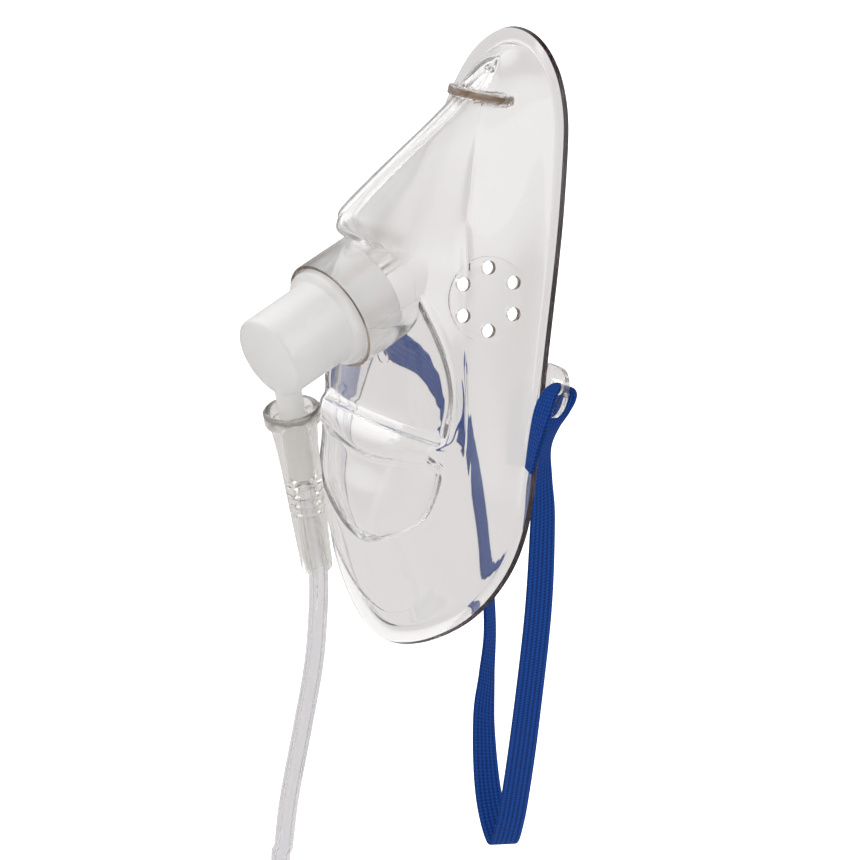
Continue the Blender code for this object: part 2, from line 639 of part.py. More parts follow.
def tube_path():
    """Points of the free tube from the cuff's seat to the side of the coil."""
    _, _, crossing, down = adaptor_frame()
    tilt = Matrix.Rotation(-LEAN, 4, "X")
    start = tilt @ (crossing + down * (CUFF_TOP + CUFF_SEAT_AT + GAP))
    inside = tilt @ (crossing + down * (CUFF_TOP + CUFF_LENGTH - 4 * MM))
    leaving = tilt @ (crossing + down * (CUFF_TOP + CUFF_LENGTH + 2 * MM))
    route = [start, start.lerp(inside, 0.5), inside, leaving]
    route += [Vector(p) * MM for p in TUBE_ROUTE_MM]
    out = Vector((cos(JOIN_AT), 0.0, sin(JOIN_AT)))
    join = COIL_CENTRE + out * coil_reach(COIL_SECTION - TUBE_RADIUS) - Vector((0.0, TUBE_RADIUS, 0.0))
    hub = join + out * JOIN_BEND
    arc = []
    for k in range(JOIN_STEPS):
        angle = JOIN_AT * k / JOIN_STEPS
        spoke = Vector((cos(angle), 0.0, sin(angle)))
        along = Vector((sin(angle), 0.0, -cos(angle)))
        if clears_ring(hub - spoke * JOIN_BEND, along):
            arc.append(hub - spoke * JOIN_BEND)
    return spaced(curve_points(route + arc[::JOIN_STEPS // 6] + [arc[-1]]), TUBE_SPACING)


def torus(name, centre, major, minor, segments, sides):
    """Turned ring with its axis along Y."""
    bm = bmesh.new()
    rings = []
    for k in range(segments):
        angle = tau * k / segments
        out = Vector((cos(angle), 0.0, sin(angle)))
        ring = []
        for j in range(sides):
            turn = tau * j / sides
            aside = Vector((0.0, minor * sin(turn), 0.0))
            ring.append(bm.verts.new(centre + out * (major + minor * cos(turn)) + aside))
        rings.append(ring)
    for first, second in zip(rings, rings[1:] + rings[:1]):
        for j in range(sides):
            n = (j + 1) % sides
            bm.faces.new((first[j], second[j], second[n], first[n]))
    return new_object(name, bm)


def build_coil():
    """The coiled length as one turned ring, with its tie and its tail."""
    torus("tube_coil", COIL_CENTRE, COIL_RADIUS, COIL_SECTION, 56, 16)
    out = Vector((cos(TIE_AT), 0.0, sin(TIE_AT)))
    along = Vector((-sin(TIE_AT), 0.0, cos(TIE_AT)))
    inner = COIL_SECTION + GAP
    outer = inner + TIE_THICKNESS
    half = TIE_WIDTH / 2
    band = [(-half, outer), (half, outer), (half, inner + TIE_SLACK), (-half, inner + TIE_SLACK)]
    turned_loop("tube_tie", band, COIL_CENTRE + out * COIL_RADIUS, along, 32)
    top = tail_top()
    cuff_end = top - Vector((0.0, 0.0, TAIL_SHOWN))
    seat = cuff_end - Vector((0.0, 0.0, CUFF_LENGTH - CUFF_SEAT_AT - GAP))
    tube("tube_tail", spaced([top, seat], TUBE_SPACING))
    mouth = cuff_end - Vector((0.0, 0.0, CUFF_LENGTH))
    turned_loop("supply_cuff", cuff_profile(), mouth, Vector((0.0, 0.0, 1.0)), 40)


def strap_route():
    """Strap sections from the near tail round to the far one."""
    far = [(-x, y, z, width, 180.0 - turn) for x, y, z, width, turn in STRAP_TAIL[::-1]]
    return list(STRAP_TAIL) + list(STRAP_LOOP) + far


def smooth_rows(rows, steps):
    """Rows of five numbers read from a smooth curve through them."""
    places = curve_points([row[:3] for row in rows], steps)
    shapes = curve_points([(row[3], row[4], 0.0) for row in rows], steps)
    return [(place * MM, shape[0] * MM, radians(shape[1])) for place, shape in zip(places, shapes)]


def build_strap():
    """Flat band along its route, square in section and gathered where it goes through a lug."""
    rows = smooth_rows(strap_route(), STRAP_STEPS)
    bm = bmesh.new()
    rings = []
    for k, (place, width, turn) in enumerate(rows):
        before, after = rows[max(k - 1, 0)][0], rows[min(k + 1, len(rows) - 1)][0]
        along = (after - before).normalized()
        across = Vector((cos(turn), sin(turn), 0.0))
        across = (across - along * across.dot(along)).normalized()
        face = along.cross(across)
        half, thick = across * width * 0.5, face * STRAP_THICKNESS * 0.5
        corners = (half + thick, thick - half, -half - thick, half - thick)
        rings.append([bm.verts.new(place + corner) for corner in corners])
    for first, second in zip(rings, rings[1:]):
        for j in range(4):
            n = (j + 1) % 4
            bm.faces.new((first[j], first[n], second[n], second[j]))
    bm.faces.new(rings[0][::-1])
    bm.faces.new(rings[-1])
    return new_object("head_strap", bm, 40.0)


# Colour, roughness and transmission of each piece.
FINISHES = {
    "mask_shell": ((0.86, 0.86, 0.85), 0.08, 0.9),
    "inlet_adaptor": ((0.86, 0.86, 0.87), 0.45, 0.5),
    "hose_cuff": ((0.84, 0.84, 0.81), 0.12, 0.8),
    "supply_cuff": ((0.84, 0.84, 0.81), 0.12, 0.8),
    "oxygen_tube": ((0.87, 0.87, 0.88), 0.12, 0.8),
    "tube_coil": ((0.87, 0.87, 0.88), 0.12, 0.8),
    "tube_tail": ((0.87, 0.87, 0.88), 0.12, 0.8),
    "tube_tie": ((0.85, 0.85, 0.85), 0.4, 0.0),
    "head_strap": ((0.02, 0.07, 0.33), 0.85, 0.0),
}


def finish_all():
    """Give every piece its own material."""
    for name, (colour, roughness, clear) in FINISHES.items():
        material = bpy.data.materials.new(name)
        material.use_nodes = True
        shader = material.node_tree.nodes["Principled BSDF"]
        shader.inputs["Base Color"].default_value = (*colour, 1.0)
        shader.inputs["Roughness"].default_value = roughness
        shader.inputs["Transmission Weight"].default_value = clear
        shader.inputs["Metallic"].default_value = 0.0
        shape = bpy.data.objects[name].data
        shape.materials.clear()
        shape.materials.append(material)


def main():
    """Build every piece."""
    for old in list(bpy.data.objects):
        bpy.data.objects.remove(old)
    shell = build_shell()
    add_neck(shell)
    add_vents(shell)
    add_lugs(shell)
    add_rib(shell)
    lean(shell)
    build_adaptor()
    build_cuff()
    tube("oxygen_tube", tube_path())
    build_coil()
    build_strap()
    finish_all()


main()
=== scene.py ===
"""Oxygen face mask: the looks of the part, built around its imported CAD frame.

Metres, in the part's own frame: the origin is the centre of the face opening, +X is the
wearer's left, +Y points to the face and +Z is up. The shell and the adaptor are built in mask
coordinates, which are x, h up the face opening and d forward out of it, and then leaned back.
"""

import logging
from dataclasses import dataclass
from enum import Enum
from math import cos, hypot, pi, radians, sin, tau
from typing import Any, Sequence

import bmesh
import bpy
from bpy.types import Material, Node, NodeSocket, NodeTree, Object
from mathutils import Matrix, Vector
from mathutils.bvhtree import BVHTree


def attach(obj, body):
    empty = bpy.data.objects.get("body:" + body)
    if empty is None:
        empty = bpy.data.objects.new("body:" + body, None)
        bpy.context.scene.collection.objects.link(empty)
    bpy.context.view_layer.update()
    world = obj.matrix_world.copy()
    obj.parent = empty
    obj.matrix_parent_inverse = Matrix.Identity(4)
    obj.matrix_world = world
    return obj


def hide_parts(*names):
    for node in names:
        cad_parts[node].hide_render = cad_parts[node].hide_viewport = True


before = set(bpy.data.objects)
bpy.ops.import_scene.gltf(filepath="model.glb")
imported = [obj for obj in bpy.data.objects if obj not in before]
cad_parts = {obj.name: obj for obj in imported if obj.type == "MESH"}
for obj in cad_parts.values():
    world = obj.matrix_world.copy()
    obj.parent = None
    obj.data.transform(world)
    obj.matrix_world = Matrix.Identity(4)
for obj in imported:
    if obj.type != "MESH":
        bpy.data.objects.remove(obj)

LOG = logging.getLogger("oxygen_mask")
MM = 0.001
# A point on a feature line in mm, and a step of a profile: along it, and out or in.
Point = tuple[float, float, float]
Step = tuple[float, float]
IMAGE_SIDE = 860
# The one body of the record, which every piece rides on.
BODY = "root"
# The whole mask leans back at the nose by this much.
LEAN = radians(10.0)
# Clearance between pieces that push into each other.
GAP = 0.3 * MM
WHITE = (1.0, 1.0, 1.0, 1.0)


class Operation(Enum):
    """What a Boolean does with its tool."""

    UNION = "UNION"
    DIFFERENCE = "DIFFERENCE"


class ShellFace(Enum):
    """Place of each finish in the shell's list of materials."""

    CLEAR = 0
    # The flange's rim faces, painted dark as a line of shade.
    RIM = 1
    # Cut edges, end faces and hole walls, painted tan as a line of shade.
    EDGE = 2


class Shading(Enum):
    """Angle in degrees past which an edge stays sharp."""

    SOFT = 180.0
    MOULDED = 42.0
    CRISP = 30.0


# Shared helpers.


def linear(code: str) -> tuple[float, float, float, float]:
    """Turn an sRGB hex colour into linear values.

    Args:
        code: The colour as six hex digits, with or without a leading hash.

    Returns:
        Red, green, blue and an alpha of one.
    """
    digits = code.lstrip("#")
    channels = [int(digits[k:k + 2], 16) / 255 for k in (0, 2, 4)]
    straight = [c / 12.92 if c <= 0.04045 else ((c + 0.055) / 1.055) ** 2.4 for c in channels]
    return (straight[0], straight[1], straight[2], 1.0)


def add_node(
    tree: NodeTree,
    kind: str,
    settings: dict[str, Any] | None = None,
    inputs: dict[Any, Any] | None = None,
) -> Node:
    """Add a node with its settings, values and links.

    Args:
        tree: The node tree that gets the node.
        kind: The node's type name.
        settings: Attributes of the node itself.
        inputs: Input name or number to a value, or to the output socket that feeds it.

    Returns:
        The new node.
    """
    node = tree.nodes.new(kind)
    for key, value in (settings or {}).items():
        setattr(node, key, value)
    for key, value in (inputs or {}).items():
        if isinstance(value, NodeSocket):
            tree.links.new(value, node.inputs[key])
        else:
            node.inputs[key].default_value = value
    return node


def soft_share(tree: NodeTree, place: NodeSocket, way: Sequence[float], starts: float, full: float) -> NodeSocket:
    """Read how far a place lies along a direction, as a soft share between two reaches.

    Args:
        tree: The node tree.
        place: The place or ray, as a vector socket.
        way: The direction.
        starts: The reach at which the share is none.
        full: The reach at which it is one.

    Returns:
        The share as a socket.
    """
    reach = add_node(tree, "ShaderNodeVectorMath", {"operation": "DOT_PRODUCT"}, {0: place, 1: tuple(way)})
    share = add_node(
        tree, "ShaderNodeMapRange", {"interpolation_type": "SMOOTHSTEP"},
        {"Value": reach.outputs["Value"], "From Min": starts, "From Max": full},
    )
    return share.outputs["Result"]


def new_material(name: str, values: dict[str, Any]) -> Material:
    """Make a material and set its Principled shader's own sockets.

    Args:
        name: The material's name.
        values: Socket name to value.

    Returns:
        The material.
    """
    made = bpy.data.materials.new(name)
    made.use_nodes = True
    for key, value in values.items():
        made.node_tree.nodes["Principled BSDF"].inputs[key].default_value = value
    return made


def see_through(name: str, tint: str, roughness: float, ior: float, clear: float) -> Material:
    """Make a material that lets light through.

    Args:
        name: The material's name.
        tint: Its colour in hex.
        roughness: How rough its skin is.
        ior: Its index of refraction.
        clear: How much of the light passes.

    Returns:
        The material.
    """
    skin = {"Base Color": linear(tint), "Roughness": roughness, "IOR": ior, "Transmission Weight": clear}
    return new_material(name, skin)


def smooth_curve(points: Sequence[Sequence[float]], per_span: int = 12) -> list[Vector]:
    """Read a smooth curve through points as a dense list.

    Args:
        points: The points that the curve passes through.
        per_span: How many steps lie between two of them.

    Returns:
        Points along the curve, both ends included.
    """
    rows = [Vector(p) for p in points]
    ends = [rows[0] * 2 - rows[1]] + rows + [rows[-1] * 2 - rows[-2]]
    dense = []
    for a, b, c, d in zip(ends, ends[1:], ends[2:], ends[3:]):
        for step in range(per_span):
            t = step / per_span
            along = (c - a) * t + (a * 2 - b * 5 + c * 4 - d) * t ** 2 + (b * 3 - a - c * 3 + d) * t ** 3
            dense.append(b + along * 0.5)
    return dense + [rows[-1]]


def at_height(dense: Sequence[Vector], h: float) -> Vector:
    """Find the point of a falling dense curve at a height.

    Args:
        dense: Points of the curve, from the top down.
        h: The height, which is their second coordinate.

    Returns:
        The point there, or the nearer end.
    """
    if h >= dense[0][1]:
        return dense[0].copy()
    for upper, lower in zip(dense, dense[1:]):
        if lower[1] <= h <= upper[1]:
            share = (upper[1] - h) / max(upper[1] - lower[1], 1e-9)
            return upper.lerp(lower, share)
    return dense[-1].copy()


def add_object(name: str, data: bpy.types.ID) -> Object:
    """Make an object of mesh, curve, lamp or camera data and link it to the scene.

    Args:
        name: The object's name.
        data: What it shows.

    Returns:
        The object.
    """
    made = bpy.data.objects.new(name, data)
    bpy.context.collection.objects.link(made)
    return made


def bridge(
    bm: bmesh.types.BMesh, lower: Sequence[bmesh.types.BMVert], upper: Sequence[bmesh.types.BMVert]
) -> list[bmesh.types.BMFace]:
    """Close the band between two rings with as many points.

    Args:
        bm: The mesh.
        lower: The first ring's points.
        upper: The second ring's points.

    Returns:
        The band's faces.
    """
    beside = [*range(1, len(lower)), 0]
    return [bm.faces.new((lower[k], lower[n], upper[n], upper[k])) for k, n in enumerate(beside)]


def mesh_object(name: str, bm: bmesh.types.BMesh, shading: Shading, turn_out: bool = True) -> Object:
    """Make an object from a bmesh and shade it.

    Args:
        name: The object's name.
        bm: The mesh, which is freed.
        shading: Which edges stay sharp.
        turn_out: Whether the faces are first turned outwards.

    Returns:
        The new object.
    """
    if turn_out:
        bmesh.ops.recalc_face_normals(bm, faces=bm.faces[:])
    mesh = bpy.data.meshes.new(name)
    bm.to_mesh(mesh)
    bm.free()
    made = add_object(name, mesh)
    shade(made, shading)
    return made


def shade(target: Object, shading: Shading) -> None:
    """Shade an object smooth but for its sharp edges.

    Args:
        target: The object.
        shading: The angle past which an edge stays sharp.
    """
    bm = bmesh.new()
    bm.from_mesh(target.data)
    limit = radians(shading.value)
    for face in bm.faces:
        face.smooth = True
    for edge in bm.edges:
        edge.smooth = len(edge.link_faces) != 2 or edge.calc_face_angle(0.0) < limit
    bm.to_mesh(target.data)
    bm.free()


def bake_modifiers(target: Object) -> None:
    """Turn an object's evaluated shape into its plain mesh.

    Args:
        target: The object, whose modifiers are removed.
    """
    graph = bpy.context.evaluated_depsgraph_get()
    mesh = bpy.data.meshes.new_from_object(target.evaluated_get(graph), depsgraph=graph)
    target.modifiers.clear()
    target.data = mesh


def combine(target: Object, tool: Object, operation: Operation) -> None:
    """Join a tool to a solid or cut it away; the tool is then removed.

    Args:
        target: The solid that stays.
        tool: The closed mesh that is used up.
        operation: What is done.
    """
    step = target.modifiers.new(operation.name.lower(), "BOOLEAN")
    step.operation = operation.value
    step.solver = "EXACT"
    step.object = tool
    bake_modifiers(target)
    bpy.data.objects.remove(tool)


def turned(
    name: str,
    profile: Sequence[Step],
    start: Vector,
    axis: Vector,
    segments: int,
    ring: bool = False,
    shading: Shading = Shading.CRISP,
) -> Object:
    """Turn a profile about an axis into a solid.

    Args:
        name: The object's name.
        profile: Pairs of distance along the axis and radius.
        start: Where the axis starts.
        axis: Its direction.
        segments: How many faces go round.
        ring: True where the profile is a closed loop, and false where caps close its ends.
        shading: Which edges stay sharp.

    Returns:
        The turned object.
    """
    bm = bmesh.new()
    place = Matrix.Translation(start) @ axis.normalized().to_track_quat("Z", "Y").to_matrix().to_4x4()
    rings = []
    for along, radius in profile:
        spots = [tau * k / segments for k in range(segments)]
        rings.append([bm.verts.new(place @ Vector((radius * cos(a), radius * sin(a), along))) for a in spots])
    for lower, upper in zip(rings, rings[1:] + rings[:1] if ring else rings[1:]):
        bridge(bm, lower, upper)
    if not ring:
        bm.faces.new(rings[0][::-1])
        bm.faces.new(rings[-1])
    return mesh_object(name, bm, shading)


def slab(name: str, outline: Sequence[Vector], normal: Vector, thickness: float, middle: Vector) -> Object:
    """Make a flat plate from a closed outline.

    Args:
        name: The object's name.
        outline: Points of the outline about its middle.
        normal: The way it gets its thickness, half to each side.
        thickness: The plate's thickness.
        middle: Where the outline's own origin goes.

    Returns:
        The plate.
    """
    bm = bmesh.new()
    half = normal * thickness * 0.5
    low = [bm.verts.new(middle + p - half) for p in outline]
    high = [bm.verts.new(middle + p + half) for p in outline]
    bm.faces.new(low[::-1])
    bm.faces.new(high)
    bridge(bm, low, high)
    return mesh_object(name, bm, Shading.MOULDED)


def join_objects(name: str, parts: Sequence[Object], finishes: Sequence[Material] = ()) -> Object:
    """Put several meshes into one object without changing them.

    Args:
        name: The new object's name.
        parts: The objects, which are removed.
        finishes: The materials that their faces point to.

    Returns:
        The joined object.
    """
    bm = bmesh.new()
    for part in parts:
        bm.from_mesh(part.data)
    mesh = bpy.data.meshes.new(name)
    for finish in finishes:
        mesh.materials.append(finish)
    bm.to_mesh(mesh)
    bm.free()
    for part in parts:
        bpy.data.objects.remove(part)
    return add_object(name, mesh)


def start_form(name: str, wanted: Sequence[tuple[str, str, Any]]) -> tuple[NodeTree, Node, dict[str, Any]]:
    """Start a Geometry Nodes tree with named inputs and an input for its material.

    Args:
        name: The tree's name.
        wanted: Name, socket type and value of each input.

    Returns:
        The tree, its input node, and each input's value by its socket's identifier.
    """
    tree = bpy.data.node_groups.new(name, "GeometryNodeTree")
    tree.interface.new_socket("Geometry", in_out="OUTPUT", socket_type="NodeSocketGeometry")
    values = {}
    for label, kind, value in wanted:
        values[tree.interface.new_socket(label, in_out="INPUT", socket_type=kind).identifier] = value
    return tree, add_node(tree, "NodeGroupInput"), values


def end_form(name: str, tree: NodeTree, shape: NodeSocket, values: dict[str, Any]) -> Object:
    """End a Geometry Nodes tree and turn what it makes into a plain mesh.

    Args:
        name: The new object's name.
        tree: The tree, which has an input named Finish.
        shape: The socket with the finished shape.
        values: Each input's value by its socket's identifier.

    Returns:
        The object.
    """
    given = next(node for node in tree.nodes if node.bl_idname == "NodeGroupInput")
    real = add_node(tree, "GeometryNodeRealizeInstances", inputs={"Geometry": shape})
    dressed = add_node(
        tree, "GeometryNodeSetMaterial",
        inputs={"Geometry": real.outputs["Geometry"], "Material": given.outputs["Finish"]},
    )
    result = add_node(tree, "NodeGroupOutput")
    tree.links.new(dressed.outputs["Geometry"], result.inputs[0])
    made = add_object(name, bpy.data.meshes.new(name))
    step = made.modifiers.new("form", "NODES")
    step.node_group = tree
    for identifier, value in values.items():
        step[identifier] = value
    bake_modifiers(made)
    return made


def lean(target: Object) -> None:
    """Move a piece from mask coordinates to the part's."""
    target.data.transform(Matrix.Rotation(-LEAN, 4, "X"))


def dress(target: Object, material: Material) -> None:
    """Give a piece one material."""
    target.data.materials.clear()
    target.data.materials.append(material)


def face_all(target: Object, kind: ShellFace) -> Object:
    """Give every face of a piece of the shell the same place in the list of materials.

    Args:
        target: The piece.
        kind: The place.

    Returns:
        The piece itself.
    """
    for face in target.data.polygons:
        face.material_index = kind.value
    return target


def stand_for(piece: Object, slot: str, *nodes: str) -> None:
    """Let a piece ride on the body and stand for CAD nodes.

    Args:
        piece: The finished piece.
        slot: The record's material slot; not used.
        nodes: The CAD nodes that it replaces.
    """
    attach(piece, BODY)
    if nodes:
        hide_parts(*nodes)
    triangles = sum(len(face.vertices) - 2 for face in piece.data.polygons)
    LOG.info("%s: %d triangles, stands for %s", piece.name, triangles, ", ".join(nodes) or "nothing")


# Finishes.


@dataclass(frozen=True)
class ClearPlastic:
    """Clear plasticised PVC from a polished mould: see-through, glossy and darker along its edges."""

    name: str
    tint: str = "#fefefe"
    deep: str = "#6c5a52"
    density: float = 18.0
    clear: float = 0.96
    roughness: float = 0.03
    ior: float = 1.53

    def material(self) -> Material:
        """Build the material.

        Returns:
            The material, with what the plastic takes from light inside it.
        """
        made = see_through(self.name, self.tint, self.roughness, self.ior, self.clear)
        tree = made.node_tree
        inside = add_node(
            tree, "ShaderNodeVolumeAbsorption", inputs={"Color": linear(self.deep), "Density": self.density}
        )
        tree.links.new(inside.outputs["Volume"], tree.nodes["Material Output"].inputs["Volume"])
        return made


@dataclass(frozen=True)
class MouldedPlastic(ClearPlastic):
    """Clear plasticised PVC from a mould that is polished but for its nose, where a fine blast blurs what is behind."""

    satin: float = 0.24
    # In mm of the mask's own height and depth: where the blast starts and is full.
    nose_from: tuple[float, float] = (12.0, 22.0)
    side_from: tuple[float, float] = (23.6, 26.2)
    side_slope: float = 0.2

    def material(self) -> Material:
        """Build the material.

        Returns:
            The material, with the nose's roughness placed on Object coordinates.
        """
        made = super().material()
        tree = made.node_tree
        place = add_node(tree, "ShaderNodeTexCoord").outputs["Object"]
        rise = Vector((0.0, sin(LEAN), cos(LEAN)))
        forward = Vector((0.0, -cos(LEAN), sin(LEAN)))
        high, ahead = (
            soft_share(tree, place, way, start * MM, full * MM)
            for way, (start, full) in ((rise, self.nose_from), (forward + rise * self.side_slope, self.side_from))
        )
        both = add_node(tree, "ShaderNodeMath", {"operation": "MULTIPLY"}, {0: high, 1: ahead})
        rough = add_node(
            tree, "ShaderNodeMapRange",
            inputs={"Value": both.outputs[0], "To Min": self.roughness, "To Max": self.satin},
        )
        tree.links.new(rough.outputs["Result"], tree.nodes["Principled BSDF"].inputs["Roughness"])
        return made


@dataclass(frozen=True)
class FrostedPlastic:
    """Moulded natural polyethylene: milky and translucent, with a satin skin that blurs what is behind."""

    name: str
    colour: str = "#fbfaf9"
    roughness: float = 0.33
    clear: float = 0.64
    ior: float = 1.5

    def material(self) -> Material:
        """Build the material."""
        return see_through(self.name, self.colour, self.roughness, self.ior, self.clear)


@dataclass(frozen=True)
class WovenElastic:
    """Narrow woven elastic: rubber cores under dyed polyester, which give it matt ribs along its length, with painted
    shade in the low parts of its weave.
    """

    name: str
    colour: str = "#1a4a9c"
    # The darker colour is painted shade, mixed into the low parts of the weave between the crowns of its cores and
    # picks.
    shade: str = "#0f2c66"
    roughness: float = 0.85
    gloss: float = 0.12
    # The real webbing has a core every 1.1 mm and a pick every 0.6 mm. Both are drawn coarser, so that they show.
    core_pitch: float = 1.16
    pick_pitch: float = 0.85
    # How far a pick slants from the edge of a core to its crown, and how high it stands beside the core.
    slant: float = 0.42
    pick_height: float = 0.34
    relief: float = 0.25 * MM
    relief_strength: float = 0.55
    shade_range: tuple[float, float] = (0.1, 1.2)

    def material(self) -> Material:
        """Build the material on a UV map in millimetres: u across the webbing and v along it.

        Returns:
            The material.
        """
        made = new_material(self.name, {"Roughness": self.roughness, "Specular IOR Level": self.gloss})
        tree = made.node_tree
        shader = tree.nodes["Principled BSDF"]
        place = add_node(tree, "ShaderNodeUVMap", {"uv_map": "webbing"})
        parts = add_node(tree, "ShaderNodeSeparateXYZ", inputs={0: place.outputs["UV"]})
        across = add_node(
            tree, "ShaderNodeMath", {"operation": "MULTIPLY"}, {0: parts.outputs["X"], 1: pi / self.core_pitch}
        )
        core = add_node(tree, "ShaderNodeMath", {"operation": "SINE"}, {0: across.outputs[0]})
        crown = add_node(tree, "ShaderNodeMath", {"operation": "ABSOLUTE"}, {0: core.outputs[0]})
        slope = add_node(tree, "ShaderNodeMath", {"operation": "MULTIPLY"}, {0: crown.outputs[0], 1: self.slant})
        pick = add_node(
            tree, "ShaderNodeMath", {"operation": "MULTIPLY_ADD"},
            {0: parts.outputs["Y"], 1: 1 / self.pick_pitch, 2: slope.outputs[0]},
        )
        turn = add_node(tree, "ShaderNodeMath", {"operation": "MULTIPLY"}, {0: pick.outputs[0], 1: tau})
        wave = add_node(tree, "ShaderNodeMath", {"operation": "SINE"}, {0: turn.outputs[0]})
        height = add_node(
            tree, "ShaderNodeMath", {"operation": "MULTIPLY_ADD"},
            {0: wave.outputs[0], 1: self.pick_height, 2: crown.outputs[0]},
        )
        bump = add_node(
            tree, "ShaderNodeBump",
            inputs={"Strength": self.relief_strength, "Distance": self.relief, "Height": height.outputs[0]},
        )
        # Painted shade: the lower the weave, the more of the darker colour.
        low, high = self.shade_range
        share = add_node(
            tree, "ShaderNodeMapRange", inputs={"Value": height.outputs[0], "From Min": low, "From Max": high}
        )
        mixed = add_node(
            tree, "ShaderNodeMix", {"data_type": "RGBA"},
            {0: share.outputs["Result"], 6: linear(self.shade), 7: linear(self.colour)},
        )
        tree.links.new(mixed.outputs[2], shader.inputs["Base Color"])
        tree.links.new(bump.outputs["Normal"], shader.inputs["Normal"])
        return made


@dataclass(frozen=True)
class PlainPlastic:
    """Opaque moulded polyethylene with a satin skin."""

    name: str
    colour: str = "#e9e9e6"
    roughness: float = 0.4

    def material(self) -> Material:
        """Build the material."""
        return new_material(self.name, {"Base Color": linear(self.colour), "Roughness": self.roughness})


# Camera, floor and light.


@dataclass
class ViewCamera:
    """Camera at the photograph's angle, with the origin where the photograph has it."""

    azimuth: float = 46.0
    elevation: float = 16.0
    roll: float = 5.0
    distance: float = 0.8
    pixels_per_mm: float = 4.45
    origin_pixel: tuple[float, float] = (463.0, 335.0)
    sensor_mm: float = 36.0
    clip: tuple[float, float] = (0.01, 50.0)

    def axes(self) -> tuple[Vector, Vector, Vector]:
        """Find the camera's own directions.

        Returns:
            The picture's right, its up and the way back to the camera.
        """
        a, e, r = radians(self.azimuth), radians(self.elevation), radians(self.roll)
        back = Vector((sin(a) * cos(e), -cos(a) * cos(e), sin(e)))
        level = Vector((cos(a), sin(a), 0.0))
        rise = back.cross(level)
        return level * cos(r) + rise * sin(r), rise * cos(r) - level * sin(r), back

    def build(self) -> None:
        """Make the camera and set it as the scene's own."""
        right, up, back = self.axes()
        focal = self.pixels_per_mm * self.distance / MM
        across = IMAGE_SIDE / 2 - self.origin_pixel[0]
        down = IMAGE_SIDE / 2 - self.origin_pixel[1]
        aim = (right * across - up * down - back * focal).normalized()
        side = aim.cross(up).normalized()
        top = side.cross(aim)
        data = bpy.data.cameras.new("camera")
        data.sensor_width = self.sensor_mm
        data.lens = focal * self.sensor_mm / IMAGE_SIDE
        data.clip_start, data.clip_end = self.clip
        made = add_object("camera", data)
        turn = Matrix((side, top, -aim)).transposed().to_4x4()
        made.matrix_world = Matrix.Translation(back * self.distance) @ turn
        bpy.context.scene.camera = made


@dataclass(frozen=True)
class Field:
    """A soft field of the surround: its direction, how wide it is and how bright."""

    direction: tuple[float, float, float]
    starts: float
    full: float
    level: float


@dataclass(frozen=True)
class Lamp:
    """A square soft lamp: its name, its place, its width and its power in watts."""

    name: str
    place: tuple[float, float, float]
    side: float
    power: float


